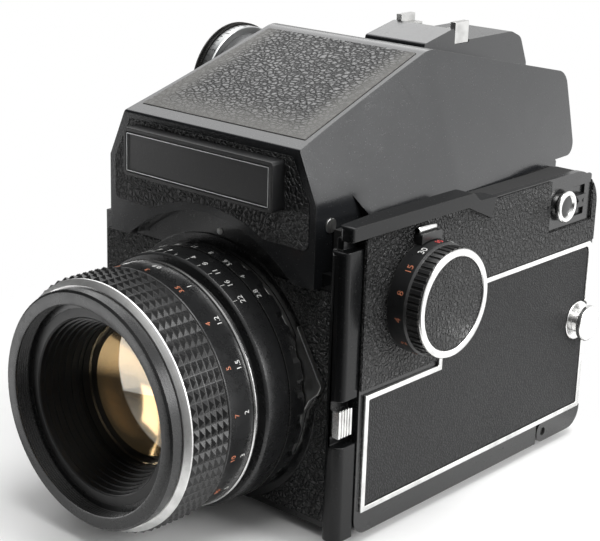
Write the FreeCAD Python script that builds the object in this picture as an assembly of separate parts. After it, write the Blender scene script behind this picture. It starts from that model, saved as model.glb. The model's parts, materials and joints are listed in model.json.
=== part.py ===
"""Medium format single-lens reflex camera with a prism finder and a standard lens.

Frame: millimetres, +Z up, -Y towards the subject, +X towards the photographer's left hand.
The origin is the mouth of the tripod socket, in the middle of the flat base.
"""
import FreeCAD, Part
import math
import os

# Body
base_height = 3.0
body_half_width = 52.0
cover_thickness = 2.0
body_front = -57.0
cover_front = -58.8
body_rear = 53.3
body_top = 88.5
rear_corner_radius = 12.0
foot_corner_radius = 5.0
right_corner_radius = 6.0
base_half_width = body_half_width - 4.0
base_edge_radius = 2.0
panel_bottom = 9.9

# Lens axis and lens mount
lens_axis_height = 38.9
front_plate_thickness = 3.5
front_plate_half_width = body_half_width - 6.5
mount_radius = 33.0
mount_bore_radius = 27.0
mount_proud = 0.8
mount_seat_depth = 2.0
mount_surround_radius = 39.0
mount_surround_height = 0.6

# Mirror box, film gate and film chamber
mirror_box_half_width = 33.0
mirror_box_bottom = 14.0
mirror_box_top = 64.5
gate_front = 0.0
gate_rear = 5.2
gate_half_width = 28.0
gate_height = 41.5
chamber_half_width = 38.0
chamber_bottom = 11.5
chamber_top = 73.0
casting_rear = 49.0
side_bay_wall = 2.5
casting_split = 5.2
screen_seat = 70.0
screen_thickness = 2.4
screen_half_width = 29.8
screen_front = -51.8
screen_rear = -4.2
curtain_thickness = 0.4

# Finder
finder_floor = 76.2
finder_pocket_half_width = body_half_width - 8.6
hood_bottom = 87.5
finder_nose_y = -64.1
finder_nose_z = 108.3
finder_nose_half_width = 33.3
finder_apex_y = -6.7
finder_apex_z = 127.9
finder_apex_half_width = 30.1
finder_rear_y = 60.3
finder_rear_top_y = 57.0
finder_rear_top_z = 114.6
finder_rear_half_width = 35.5
finder_foot_half_width = finder_pocket_half_width - 1.2
finder_foot_rear_half_width = finder_pocket_half_width - 4.9
finder_ridge_radius = 9.0
apron_half_width = finder_pocket_half_width - 3.9
apron_bottom = 72.0
apron_thickness = 3.4
crease_height = 96.7
crease_rear = -50.8
crease_foot = -45.0
arch_radius = 45.8
tongue_half_width = 31.0
tongue_top = 86.0

# Name block on the front of the finder
name_block_half_width = 28.5
name_block_bottom = 91.3
name_block_top = 105.0
name_block_depth = 4.9
name_border = 1.1

# Leatherette on the finder
finder_leather_thickness = 0.2
roof_leather_margin = 2.2
roof_leather_low = 5.0
roof_leather_high = 57.0
brow_leather_bottom = 82.0
brow_leather_top = 106.4
brow_leather_margin = 2.3

# Eyepiece block on the roof and its accessory shoe
eyepiece_half_width = 11.5
eyepiece_front = 15.5
eyepiece_axis_height = 104.0
eyepiece_rear = 70.6
eyepiece_bore = 7.6
eyecup_radius = 11.0
eyecup_length = 3.6
shoe_front = 30.6
shoe_length = 7.0
shoe_floor = 123.7
shoe_top = 129.4
shoe_slot_half_width = 9.4
shoe_mouth_half_width = 6.4
shoe_slot_height = 2.3
shoe_sheet = 1.0

# Side leather and bright trim
leather_thickness = 0.6
trim_width = 1.6
trim_height = 0.95
trim_front = -57.0
trim_rear = 52.0
trim_bottom = 9.9
trim_low_top = 44.2
trim_high_top = 65.2
trim_step = -25.0
leather_gap = 0.15
upper_leather_margin = 0.5
upper_leather_rise = 1.6

# Shoulder rails along the tops of the sides
rail_top = 92.1
rail_bottom = 88.2
rail_tongue_bottom = 83.3
rail_front = -66.0
rail_rear = -14.0
rail_tip = -2.6
rail_outside = body_half_width + 1.5
rail_inside = body_half_width - 4.7
rail_front_inside = body_half_width - 3.0

# Front pillar with the lens release
pillar_outside = body_half_width - 0.4
pillar_inside = pillar_outside - 5.9
pillar_front = -66.0
pillar_top = 85.0
pillar_neck_inset = 1.0
release_recess_bottom = 31.0
release_recess_top = 44.0
release_recess_depth = 3.4
release_height = 7.7
release_length = 5.4
release_travel = 1.0
release_rib_width = 0.44
release_rib_depth = 0.5

# Shutter speed dial on the photographer's left
dial_y = -34.6
dial_z = 67.4
dial_face = body_half_width + 11.8
dial_skirt_radius = 15.7
dial_skirt_thickness = 6.0
dial_skirt_chamfer = 0.5
dial_grip_radius = 15.2
dial_ring_radius = 15.0
dial_ring_bore = 12.9
dial_ring_thickness = 0.9
dial_flutes = 48
dial_shaft_radius = 3.0
index_half_length = 4.4
index_height = 2.7
index_proud = 3.2
index_pin_radius = 0.8
index_pin_length = 7.6

# Finder dials on the photographer's right
finder_dial_y = -9.0
finder_dial_z = 107.8
finder_dial_radius = 18.8
finder_dial_inside = -38.0
finder_dial_outside = -43.6
finder_boss_radius = 16.0
speed_disc_radius = 14.6
speed_disc_proud = 1.3
finder_dial_teeth = 60

# Winding knob and folding crank on the photographer's right
wind_y = 32.0
wind_z = 58.0
knob_radius = 15.0
knob_thickness = 7.4
knob_flutes = 36
crank_width = 6.0
crank_thickness = 2.4
crank_reach = 19.5
crank_hinge_offset = 11.5
crank_pin_radius = 1.0
grip_radius = 2.9
grip_length = 4.0
wind_shaft_radius = 3.0

# Film insert and spool
insert_half_width = chamber_half_width - 0.6
insert_wall = 2.2
insert_front = 8.0
insert_rear = 47.5
insert_bottom = 11.8
insert_top = 72.6
spool_flange_radius = 12.6
spool_core_radius = 5.8
spool_flange_thickness = 1.6
spool_half_length = 32.8
spool_bore_radius = 3.2

# Rear cover
cover_plate_front = 49.4
cover_plate_rear = 54.0
cover_half_width = body_half_width - 2.3
cover_top = 75.6
cover_foot_bottom = 2.9
hinge_y = 33.5
hinge_z = 6.2
hinge_radius = 3.3
hinge_pin_radius = 1.25
hinge_ear_half_length = 9.0

# Release button on the front
button_x = 7.5 - front_plate_half_width
button_z = 14.0
button_radius = 4.0
button_proud = 5.6
button_travel = 3.0
collar_radius = 7.0
collar_proud = 3.6
button_stem_radius = 1.6

# Levers on the photographer's right
mirror_lever_y = -36.0
mirror_lever_z = 50.0
multi_lever_y = 12.0
multi_lever_z = 66.0
lever_hub_radius = 4.6
lever_length = 14.0
lever_thickness = 2.4

# Latch of the rear cover
latch_y = 34.0
latch_z = 79.3
latch_plate_front = 27.0
latch_plate_rear = 50.0
latch_plate_bottom = 72.4
latch_plate_top = 86.9
latch_button_radius = 4.9
latch_button_travel = 1.2
latch_slide_travel = 2.5

# Strap lugs
lug_y = 47.2
lug_z = 40.0
lug_head_radius = 6.2
lug_neck_radius = 3.4
lug_proud = 5.2
lug_head_thickness = 1.6

# Mirror
mirror_pivot_y = -3.4
mirror_pivot_z = 61.4
mirror_length = 50.0
mirror_half_width = mirror_box_half_width - 2.5
mirror_frame_thickness = 1.6
mirror_glass_thickness = 1.8
mirror_pin_radius = 1.25

# Lens
lens_flange_radius = 34.0
aperture_ring_front = -68.7
aperture_ring_rear = -63.2
aperture_ring_radius = 36.8
aperture_rim = 3.0
aperture_flutes = 24
depth_ring_front = -77.4
depth_ring_radius = 36.5
barrel_radius = 33.2
barrel_front = -95.5
barrel_bore = 27.6
focus_ring_front = -103.0
focus_ring_rear = -79.9
focus_grip_rear = -90.2
focus_grip_radius = 35.7
focus_scale_radius = 34.8
focus_bead_radius = 35.3
focus_bead_width = 0.8
focus_bore = 33.5
waffle_columns = 64
waffle_rows = 6
waffle_depth = 0.9
chrome_front = -104.9
chrome_front_radius = 33.6
chrome_rear_radius = 34.9
rim_front = -108.8
rim_radius = 32.9
filter_radius = 29.0
filter_thread_length = 4.4
cell_radius = 26.8
cell_rear = -66.0
funnel_outer_radius = 27.1
funnel_inner_radius = 20.6
funnel_steps = 5
glass_front = -91.0
front_glass_radius = 20.3
front_glass_bulge = 3.2
front_glass_edge = 3.0
rear_glass_radius = 14.0
diaphragm_y = -80.0
iris_radius = 9.0
preview_reach = 42.6
preview_angle = 8.5

# Fits and clearances
running_clearance = 0.05
slide_clearance = 0.1
seat_clearance = 0.3

# Fasteners
screw_head_radius = 2.0
screw_head_height = 0.9
screw_shank_radius = 1.0
screw_length = 3.2
screw_slot = 0.5

# Base fittings
socket_radius = 3.175
socket_depth = 6.0
socket_flange_radius = 9.0
battery_x = 26.0
battery_y = -36.0
battery_radius = 9.5
battery_depth = 2.0
coin_slot = 1.4

X_AXIS = FreeCAD.Vector(1, 0, 0)
Y_AXIS = FreeCAD.Vector(0, 1, 0)
Z_AXIS = FreeCAD.Vector(0, 0, 1)
far = 200.0


def box(x_low, x_high, y_low, y_high, z_low, z_high):
    """Upright block between two corners."""
    corner = FreeCAD.Vector(x_low, y_low, z_low)
    return Part.makeBox(x_high - x_low, y_high - y_low, z_high - z_low, corner)


def rod_x(y, z, radius, x_low, x_high):
    """Round bar along X."""
    return Part.makeCylinder(radius, x_high - x_low, FreeCAD.Vector(x_low, y, z), X_AXIS)


def rod_y(x, z, radius, y_low, y_high):
    """Round bar along Y."""
    return Part.makeCylinder(radius, y_high - y_low, FreeCAD.Vector(x, y_low, z), Y_AXIS)


def rod_z(x, y, radius, z_low, z_high):
    """Round bar along Z."""
    return Part.makeCylinder(radius, z_high - z_low, FreeCAD.Vector(x, y, z_low), Z_AXIS)


def on_yz(point):
    """Lay a flat point on the plane across X."""
    return FreeCAD.Vector(0, point.x, point.y)


def on_xz(point):
    """Lay a flat point on the plane across Y."""
    return FreeCAD.Vector(point.x, 0, point.y)


def on_xy(point):
    """Lay a flat point on the plane across Z."""
    return FreeCAD.Vector(point.x, point.y, 0)


def outline(corners, place):
    """Closed face through (u, v) corners, each with an optional rounding radius."""
    flat = [FreeCAD.Vector(corner[0], corner[1], 0) for corner in corners]
    starts = []
    middles = []
    ends = []
    for number, here in enumerate(flat):
        radius = corners[number][2] if len(corners[number]) == 3 else 0.0
        if radius == 0.0:
            starts.append(here)
            middles.append(None)
            ends.append(here)
            continue
        back = flat[number - 1] - here
        ahead = flat[(number + 1) % len(flat)] - here
        back.normalize()
        ahead.normalize()
        half_angle = back.getAngle(ahead) / 2
        reach = radius / math.tan(half_angle)
        bisector = back + ahead
        bisector.normalize()
        centre = here + bisector * (radius / math.sin(half_angle))
        starts.append(here + back * reach)
        middles.append(centre - bisector * radius)
        ends.append(here + ahead * reach)
    edges = []
    for number in range(len(flat)):
        if middles[number] is not None:
            arc = Part.Arc(place(starts[number]), place(middles[number]), place(ends[number]))
            edges.append(arc.toShape())
        following = (number + 1) % len(flat)
        if ends[number].distanceToPoint(starts[following]) > 1e-6:
            edges.append(Part.makeLine(place(ends[number]), place(starts[following])))
    return Part.Face(Part.Wire(edges))


def slab_x(corners, x_low, x_high):
    """Side outline in Y and Z, thick along X."""
    face = outline(corners, on_yz)
    face.translate(FreeCAD.Vector(x_low, 0, 0))
    return face.extrude(FreeCAD.Vector(x_high - x_low, 0, 0))


def slab_y(corners, y_low, y_high):
    """Front outline in X and Z, thick along Y."""
    face = outline(corners, on_xz)
    face.translate(FreeCAD.Vector(0, y_low, 0))
    return face.extrude(FreeCAD.Vector(0, y_high - y_low, 0))


def slab_z(corners, z_low, z_high):
    """Plan outline in X and Y, thick along Z."""
    face = outline(corners, on_xy)
    face.translate(FreeCAD.Vector(0, 0, z_low))
    return face.extrude(FreeCAD.Vector(0, 0, z_high - z_low))


def rectangle(u_low, u_high, v_low, v_high, radius=0.0):
    """Corners of a rectangle, all rounded alike."""
    corners = [(u_low, v_low), (u_high, v_low), (u_high, v_high), (u_low, v_high)]
    if radius == 0.0:
        return corners
    return [(u, v, radius) for u, v in corners]


def turned(profile):
    """Solid turned round the lens axis from (y, radius) corners."""
    corners = [FreeCAD.Vector(0, y, lens_axis_height + radius) for y, radius in profile]
    face = Part.Face(Part.makePolygon(corners + [corners[0]]))
    return face.revolve(FreeCAD.Vector(0, 0, lens_axis_height), Y_AXIS, 360)


def toothed(radius, depth, count, flat_share=0.5):
    """Corners of a round outline with straight teeth, round its own centre."""
    corners = []
    pitch = 2 * math.pi / count
    for tooth in range(count):
        middle = tooth * pitch
        for offset, reach in ((-0.25, radius), (0.25, radius), (0.5 - flat_share / 4, radius - depth),
                              (0.5 + flat_share / 4, radius - depth)):
            angle = middle + offset * pitch
            corners.append((reach * math.cos(angle), reach * math.sin(angle)))
    return corners


def shifted(corners, u, v):
    """The same corners moved over the plane."""
    return [(corner[0] + u, corner[1] + v) for corner in corners]


def joined(first, *others):
    """One solid from pieces that touch."""
    shape = first.fuse(list(others))
    return shape.removeSplitter()


def group(*solids):
    """Separate solids kept under one name."""
    return Part.makeCompound(list(solids))


def mirrored(shape):
    """The twin on the other side of the camera."""
    return shape.mirror(FreeCAD.Vector(0, 0, 0), X_AXIS)


def side_outline():
    """Side panel outline: rounded rear shoulder, step over the rear cover's foot."""
    step = foot_front()
    return [(body_front, base_height, foot_corner_radius), (step, base_height),
            (step, panel_bottom), (body_rear, panel_bottom, 1.0),
            (body_rear, body_top, rear_corner_radius), (body_front, body_top)]


def foot_front():
    """Where the body makes room for the rear cover's hinge."""
    return hinge_y - hinge_radius - seat_clearance * 2


def body_casting():
    """Two castings: mirror box with the film gate in front, film chamber behind."""
    inside = body_half_width - cover_thickness
    step = foot_front()
    profile = [(body_front, base_height, foot_corner_radius), (step, base_height),
               (step, panel_bottom), (casting_rear, panel_bottom),
               (casting_rear, body_top, rear_corner_radius - body_rear + casting_rear),
               (body_front, body_top)]
    shape = slab_x(profile, -inside, inside)
    corner = slab_z([(-inside - 1, body_front - 1), (-inside + right_corner_radius, body_front - 1),
                     (-inside + right_corner_radius, body_front),
                     (-inside, body_front + right_corner_radius),
                     (-inside - 1, body_front + right_corner_radius)], 0, body_top + 1)
    shape = shape.cut(corner)
    skirt_half = apron_half_width + seat_clearance
    pocket = box(-skirt_half, skirt_half, body_front - 1, body_rear, finder_floor - 0.2, body_top + 1)
    shoulder = box(-finder_pocket_half_width, finder_pocket_half_width, body_front - 1, body_rear,
                   hood_bottom - 0.2, body_top + 1)
    mirror_box = box(-mirror_box_half_width, mirror_box_half_width, body_front - 1, gate_front,
                     mirror_box_bottom, mirror_box_top)
    gate = box(-gate_half_width, gate_half_width, gate_front - 1, gate_rear + 1,
               lens_axis_height - gate_height / 2, lens_axis_height + gate_height / 2)
    slot = curtain_box(slide_clearance * 2)
    light_well = box(-screen_half_width + 2, screen_half_width - 2, screen_front + 2, screen_rear - 2,
                     mirror_box_top - 1, screen_seat + 1)
    seat = box(-screen_half_width - slide_clearance, screen_half_width + slide_clearance,
               screen_front - slide_clearance, screen_rear + slide_clearance,
               screen_seat, finder_floor + 1)
    chamber = box(-chamber_half_width, chamber_half_width, gate_rear, casting_rear + 1,
                  chamber_bottom, chamber_top)
    shape = shape.cut([pocket, shoulder, mirror_box, gate, slot, light_well, seat, chamber])
    bay_low = chamber_half_width + side_bay_wall
    bay = slab_x(rectangle(body_front + 8, casting_rear - 5, base_height + 9, finder_floor - 4, 3.0),
                 bay_low, inside + 1)
    shape = shape.cut([bay, mirrored(bay)])
    pivot = rod_x(mirror_pivot_y, mirror_pivot_z, mirror_pin_radius + running_clearance,
                  -mirror_box_half_width - 3, mirror_box_half_width + 3)
    shaft = rod_x(wind_y, wind_z, wind_shaft_radius + running_clearance,
                  -inside - 1, -chamber_half_width + 1)
    stem = rod_y(button_x, button_z, button_stem_radius + slide_clearance,
                 body_front - 1, body_front + button_proud + 3)
    shape = shape.cut([pivot, shaft, stem])
    ear = slab_x([(step - 1, panel_bottom), (step - 1, base_height),
                  (hinge_y + hinge_radius, base_height, 3.0), (hinge_y + hinge_radius, panel_bottom)],
                 -hinge_ear_half_length, hinge_ear_half_length)
    ear_bore = rod_x(hinge_y, hinge_z, hinge_pin_radius + running_clearance,
                     -hinge_ear_half_length, hinge_ear_half_length)
    shape = joined(shape, ear).cut(ear_bore)
    boss = rod_z(0, 0, socket_flange_radius - 2 + slide_clearance, base_height - 1,
                 base_height + socket_depth)
    battery = rod_z(battery_x, battery_y, battery_radius - 1, base_height - 1, base_height + 8)
    shape = shape.cut([boss, battery, latch_button_hole(1), lug_hole(1), lug_hole(-1)] + screw_holes())
    split = box(-far, far, casting_split, casting_split + running_clearance, -far, far)
    return group(*shape.cut(split).Solids)


def curtain_box(clearance):
    """The blind in the film gate, or the slot that it runs in."""
    half = gate_half_width + 4
    middle = (gate_front + gate_rear) / 2
    return box(-half - clearance, half + clearance, middle - curtain_thickness / 2 - clearance,
               middle + curtain_thickness / 2 + clearance,
               lens_axis_height - gate_height / 2 - 3 - clearance,
               lens_axis_height + gate_height / 2 + 3 + clearance)


def shutter_curtain():
    """Cloth blind of the focal plane shutter, closed across the film gate."""
    return curtain_box(0)


def base_plate():
    """Flat bottom cover with the socket, the battery hole and screw seats."""
    plan = [(-base_half_width, body_front + 4, 6.0), (base_half_width, body_front + 4, 6.0),
            (base_half_width, foot_front()), (-base_half_width, foot_front())]
    shape = slab_z(plan, 0, base_height)
    bottom_edges = [edge for edge in shape.Edges
                    if abs(edge.BoundBox.ZMax) < 1e-6 and edge.BoundBox.YMin < foot_front() - 1]
    shape = shape.makeFillet(base_edge_radius, bottom_edges)
    bush = rod_z(0, 0, socket_flange_radius + slide_clearance, -1, base_height + 1)
    battery = rod_z(battery_x, battery_y, battery_radius + running_clearance, -1, base_height + 1)
    heads = [rod_z(x, y, screw_head_radius + slide_clearance, -1, screw_head_height + 0.2)
             for x, y in base_screw_places()]
    return shape.cut([bush, battery] + heads + screw_holes())


def base_screw_places():
    """Four screws near the corners of the base."""
    side = base_half_width - 8
    return [(side, body_front + 14), (-side, body_front + 14), (side, foot_front() - 8),
            (-side, foot_front() - 8)]


def screw_holes():
    """Shank holes under the base screws."""
    return [rod_z(x, y, screw_shank_radius + running_clearance, -1, screw_length + 0.4)
            for x, y in base_screw_places()]


def slotted_screw():
    """One cheese-head screw at the origin, head face down at z = 0."""
    head = Part.makeCylinder(screw_head_radius, screw_head_height)
    shank = Part.makeCylinder(screw_shank_radius, screw_length)
    slot = box(-far, far, -screw_slot / 2, screw_slot / 2, -1, screw_head_height / 2)
    return joined(head, shank).cut(slot)


def mount_screw_places():
    """Four screws round the lens mount, as x and z."""
    radius = (mount_radius + mount_bore_radius) / 2
    places = []
    for number in range(4):
        angle = math.radians(45 + 90 * number)
        places.append((radius * math.cos(angle), lens_axis_height + radius * math.sin(angle)))
    return places


def case_screws():
    """Screws of the base, the lens mount and the finder's apron."""
    screws = []
    for x, z in mount_screw_places():
        screw = slotted_screw()
        screw.rotate(FreeCAD.Vector(0, 0, 0), X_AXIS, -90)
        screw.translate(FreeCAD.Vector(x, body_front - front_plate_thickness - mount_proud + 0.1, z))
        screws.append(screw)
    for x, y in base_screw_places():
        screw = slotted_screw()
        screw.translate(FreeCAD.Vector(x, y, 0.2))
        screws.append(screw)
    for side in (-1, 1):
        screw = slotted_screw()
        screw.rotate(FreeCAD.Vector(0, 0, 0), Y_AXIS, -90 * side)
        screw.translate(FreeCAD.Vector(side * (apron_half_width + 0.3), finder_screw_y(), body_top))
        screws.append(screw)
    return group(*screws)


def finder_screw_y():
    """Both apron screws stand this far behind the nose."""
    return finder_nose_y + 6.0


def tripod_bush():
    """Steel bush with the standard camera thread."""
    flange = rod_z(0, 0, socket_flange_radius, 0, base_height)
    neck = rod_z(0, 0, socket_flange_radius - 2, base_height, base_height + socket_depth - 0.2)
    bore = rod_z(0, 0, socket_radius, -1, socket_depth)
    return joined(flange, neck).cut(bore)


def battery_cover():
    """Coin-slotted battery cover, flush in the base."""
    disc = rod_z(battery_x, battery_y, battery_radius, 0.2, 0.2 + battery_depth)
    stub = rod_z(battery_x, battery_y, battery_radius - 2, battery_depth, base_height + 6)
    slot = box(battery_x - battery_radius + 3, battery_x + battery_radius - 3,
               battery_y - coin_slot / 2, battery_y + coin_slot / 2, -1, 1.2)
    return joined(disc, stub).cut(slot)


def side_covers():
    """Pressed covers over both side bays."""
    inside = body_half_width - cover_thickness
    left = slab_x([(cover_front if u == body_front else u, *rest) for u, *rest in side_outline()],
                  inside, body_half_width)
    left_shaft = rod_x(dial_y, dial_z, dial_shaft_radius + running_clearance, inside - 1, far)
    left = left.cut([left_shaft, latch_recess(1), lug_hole(1), latch_button_hole(1)])
    right = slab_x([(max(u, body_front + right_corner_radius), *rest)
                    for u, *rest in side_outline()], -body_half_width, -inside)
    holes = [rod_x(wind_y, wind_z, wind_shaft_radius + running_clearance, -far, -inside + 1),
             rod_x(mirror_lever_y, mirror_lever_z, lever_hub_radius - 2 + running_clearance,
                   -far, -inside + 1),
             rod_x(multi_lever_y, multi_lever_z, lever_hub_radius - 2 + running_clearance,
                   -far, -inside + 1),
             lug_hole(-1)]
    return group(left, right.cut(holes))


def span(side, low, high):
    """X range from low to high out from the middle, on one side."""
    return (low, high) if side > 0 else (-high, -low)


def latch_recess(side):
    """Shallow bed of the latch plate."""
    x_low, x_high = span(side, body_half_width - 1.0, far)
    return box(x_low, x_high, latch_plate_front, latch_plate_rear, latch_plate_bottom,
               latch_plate_top)


def lug_hole(side):
    """Hole for the strap lug's shank."""
    x_low, x_high = span(side, body_half_width - cover_thickness - 3, far)
    return rod_x(lug_y, lug_z, lug_neck_radius / 2, x_low, x_high)


def latch_button_hole(side):
    """Hole that the latch button sinks into."""
    x_low, x_high = span(side, body_half_width - 2.0 - latch_button_travel, far)
    return rod_x(latch_y, latch_z, latch_button_radius - 1.5 + slide_clearance, x_low, x_high)


def trim_path(offset):
    """Stepped outline of the bright trim, moved inwards by offset."""
    return [(trim_front + offset, trim_bottom + offset), (trim_rear - offset, trim_bottom + offset),
            (trim_rear - offset, trim_high_top - offset, 2.0), (trim_step + offset, trim_high_top - offset),
            (trim_step + offset, trim_low_top - offset), (trim_front + offset, trim_low_top - offset)]


def side_trims():
    """Bright stepped frame round the lower leather on both sides."""
    outer = slab_x(trim_path(0), body_half_width, body_half_width + trim_height)
    inner = slab_x(trim_path(trim_width), body_half_width - 1, body_half_width + trim_height + 1)
    left = outer.cut(inner)
    right = mirrored(left).cut(right_side_clear())
    return group(left.cut(lug_seat(1)), right.cut(lug_seat(-1)))


def lug_seat(side):
    """Room that trim and leather leave round a strap lug."""
    x_low, x_high = span(side, body_half_width - 0.5, far)
    return rod_x(lug_y, lug_z, lug_head_radius + seat_clearance, x_low, x_high)


def right_side_clear():
    """What the leather on the winding side makes room for."""
    hidden = box(-far, -body_half_width + 2, cover_front - 1, body_front + right_corner_radius + 0.5,
                 0, far)
    knob = rod_x(wind_y, wind_z, knob_radius + 1, -far, -body_half_width + 2)
    first = rod_x(mirror_lever_y, mirror_lever_z, lever_hub_radius + 0.5, -far, -body_half_width + 2)
    second = rod_x(multi_lever_y, multi_lever_z, lever_hub_radius + 0.5, -far, -body_half_width + 2)
    return [hidden, knob, first, second]


def lower_leathers():
    """Fine leatherette inside the bright frames."""
    left = slab_x(trim_path(trim_width + leather_gap), body_half_width,
                  body_half_width + leather_thickness)
    right = mirrored(left).cut(right_side_clear())
    return group(left.cut(lug_seat(1)), right.cut(lug_seat(-1)))


def upper_leathers():
    """Coarse leatherette above the bright frames."""
    edge = upper_leather_margin
    left = slab_x([(cover_front + leather_gap, trim_low_top + upper_leather_rise),
                   (trim_step - leather_gap, trim_low_top + upper_leather_rise),
                   (trim_step - leather_gap, trim_high_top + leather_gap),
                   (body_rear - edge, trim_high_top + leather_gap),
                   (body_rear - edge, body_top - edge, rear_corner_radius - edge),
                   (cover_front + leather_gap, body_top - edge)],
                  body_half_width, body_half_width + leather_thickness)
    right = mirrored(left)
    rail = slab_x(rail_outline(seat_clearance), body_half_width - 1, far)
    dial = rod_x(dial_y, dial_z, dial_skirt_radius - 3, body_half_width - 1, far)
    plate = box(body_half_width - 1, far, latch_plate_front - 0.2, latch_plate_rear + 0.2,
                latch_plate_bottom - 0.2, far)
    left = left.cut([rail, dial, plate, index_block(0.2), index_pin(0.1)])
    right = right.cut(right_side_clear() + [mirrored(rail)])
    return group(left, right)


def rail_outline(grow):
    """Side view of a shoulder rail, with the tongue at its rear end."""
    return [(rail_front - grow, rail_bottom - grow), (rail_rear - 2.2, rail_bottom - grow, 2.0),
            (rail_tip - 2.4 + grow, rail_tongue_bottom - grow), (rail_tip + grow, body_top + 0.7 + grow),
            (rail_rear + 3, body_top + 0.9 + grow, 2.0), (rail_rear, rail_top + grow, 2.0),
            (rail_front - grow, rail_top + grow, 1.2)]


def shoulder_rails():
    """Raised covers along the front half of both shoulders."""
    plan = slab_z([(rail_front_inside, rail_front, 1.6), (rail_outside, rail_front, 1.2),
                   (rail_outside, 0), (rail_inside, 0), (rail_inside, body_front + 7)], 0, far)
    outer = slab_x(rail_outline(0), 0, rail_outside).common(plan)
    under = slab_x([(cover_front, base_height), (body_rear, base_height), (body_rear, body_top),
                    (cover_front, body_top)], 0, body_half_width)
    left = outer.cut(under)
    front_trim = box(0, far, -far, body_front, 0, far)
    right = mirrored(outer.cut([under, front_trim]))
    right_corner = slab_z([(-far, body_front - 1), (-body_half_width + right_corner_radius, body_front - 1),
                           (-body_half_width + right_corner_radius, body_front),
                           (-body_half_width - 2, body_front + right_corner_radius + 2),
                           (-far, body_front + right_corner_radius + 2)], 0, far)
    return group(left, right.cut(right_corner))


def front_plate():
    """Front casting with the lens opening and the tongue behind the finder's apron."""
    front = body_front - front_plate_thickness
    half = front_plate_half_width
    plan = [(-half, base_height), (half, base_height), (half, finder_floor - 0.2),
            (tongue_half_width, finder_floor - 0.2), (tongue_half_width, tongue_top),
            (-tongue_half_width, tongue_top), (-tongue_half_width, finder_floor - 0.2),
            (-half, finder_floor - 0.2)]
    shape = slab_y(plan, front, body_front)
    surround = rod_y(0, lens_axis_height, mount_surround_radius, front - mount_surround_height, front)
    below = box(-far, far, front - 1, front, -far, base_height)
    collar = rod_y(button_x, button_z, collar_radius + 0.4, front - 1, front)
    shape = joined(shape, surround.cut([below, collar]))
    throat = rod_y(0, lens_axis_height, mount_bore_radius + 0.2, front - 1, body_front + 1)
    seat = rod_y(0, lens_axis_height, mount_radius + running_clearance, front - 1,
                 front + mount_seat_depth)
    stem = rod_y(button_x, button_z, button_stem_radius + slide_clearance, front - 1, body_front + 1)
    return shape.cut([throat, seat, stem] + mount_screw_holes())


def mount_screw_holes():
    """Seats and shank holes of the mount screws."""
    holes = []
    front = body_front - front_plate_thickness - mount_proud
    for x, z in mount_screw_places():
        holes.append(rod_y(x, z, screw_head_radius + slide_clearance, front - 1,
                           front + 0.1 + screw_head_height))
        holes.append(rod_y(x, z, screw_shank_radius + running_clearance, front,
                           front + 0.3 + screw_length))
    return holes


def lens_mount_ring():
    """Steel bayonet ring on the front plate."""
    front = body_front - front_plate_thickness
    ring = rod_y(0, lens_axis_height, mount_radius, front - mount_proud, front + mount_seat_depth)
    bore = rod_y(0, lens_axis_height, mount_bore_radius, front - mount_proud - 1, body_front)
    return ring.cut([bore] + mount_screw_holes())


def front_leather():
    """Leatherette on the front plate, round the lens and the release button."""
    front = body_front - front_plate_thickness
    sheet = slab_y(rectangle(-front_plate_half_width + 1, front_plate_half_width - 1, base_height + 2,
                             apron_bottom - 0.6, 1.5), front - leather_thickness, front)
    surround = rod_y(0, lens_axis_height, mount_surround_radius + 0.1, front - 2, front + 1)
    collar = rod_y(button_x, button_z, collar_radius + 0.4, front - 2, front + 1)
    return sheet.cut([surround, collar])


def front_pillar():
    """Rounded column at the photographer's left front corner, with the release recess."""
    lip = body_half_width - cover_thickness
    plan = [(pillar_inside, pillar_front, 2.4), (pillar_outside, pillar_front, 2.4),
            (pillar_outside, cover_front), (lip, cover_front), (lip, body_front),
            (pillar_inside, body_front)]
    side = slab_x([(pillar_front, base_height), (body_front, base_height), (body_front, pillar_top),
                   (pillar_front, pillar_top, 1.5)], pillar_inside, pillar_outside)
    shape = slab_z(plan, base_height, pillar_top).common(side)
    neck = box(pillar_inside + pillar_neck_inset, lip - pillar_neck_inset,
               pillar_front + 2 * pillar_neck_inset, body_front, pillar_top, rail_bottom)
    recess = box(pillar_outside - release_recess_depth, far, -far, cover_front,
                 release_recess_bottom, release_recess_top)
    return joined(shape, neck).cut(recess)


def lens_release():
    """Ribbed slider that frees the lens."""
    middle = (release_recess_bottom + release_recess_top) / 2
    rear = cover_front - 0.4 - release_travel
    front = rear - release_length
    inside = pillar_outside - release_recess_depth
    outside = pillar_outside - release_rib_depth
    shape = box(inside, outside, front, rear, middle - release_height / 2, middle + release_height / 2)
    grooves = []
    pitch = release_length / 5
    for number in range(4):
        y = front + pitch * (number + 1)
        grooves.append(box(outside - release_rib_depth, far, y - release_rib_width / 2,
                           y + release_rib_width / 2, 0, far))
    return shape.cut(grooves)


def latch_plate():
    """Smooth plate round the rear cover's latch."""
    shape = slab_x(rectangle(latch_plate_front, latch_plate_rear, latch_plate_bottom,
                             latch_plate_top, 1.0),
                   body_half_width - 1.0, body_half_width - 0.2)
    well = rod_x(latch_y, latch_z, latch_button_radius - 1.5 + slide_clearance, 0, far)
    return shape.cut([well, latch_track()])


def latch_track():
    """Window that the latch slide runs in."""
    y = latch_y + 9.0
    return box(body_half_width - 1.1, far, y - 3.2, y + 3.2, latch_z - 4.6, latch_z + 4.6)


def latch_button():
    """Round bright push button of the latch."""
    shank = rod_x(latch_y, latch_z, latch_button_radius - 1.5, body_half_width - 1.6,
                  body_half_width + 1.6)
    cap = rod_x(latch_y, latch_z, latch_button_radius, body_half_width + 1.1,
                body_half_width + 2.2)
    dish = rod_x(latch_y, latch_z, latch_button_radius - 1.9, body_half_width + 1.6, far)
    return joined(shank, cap).cut(dish)


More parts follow.
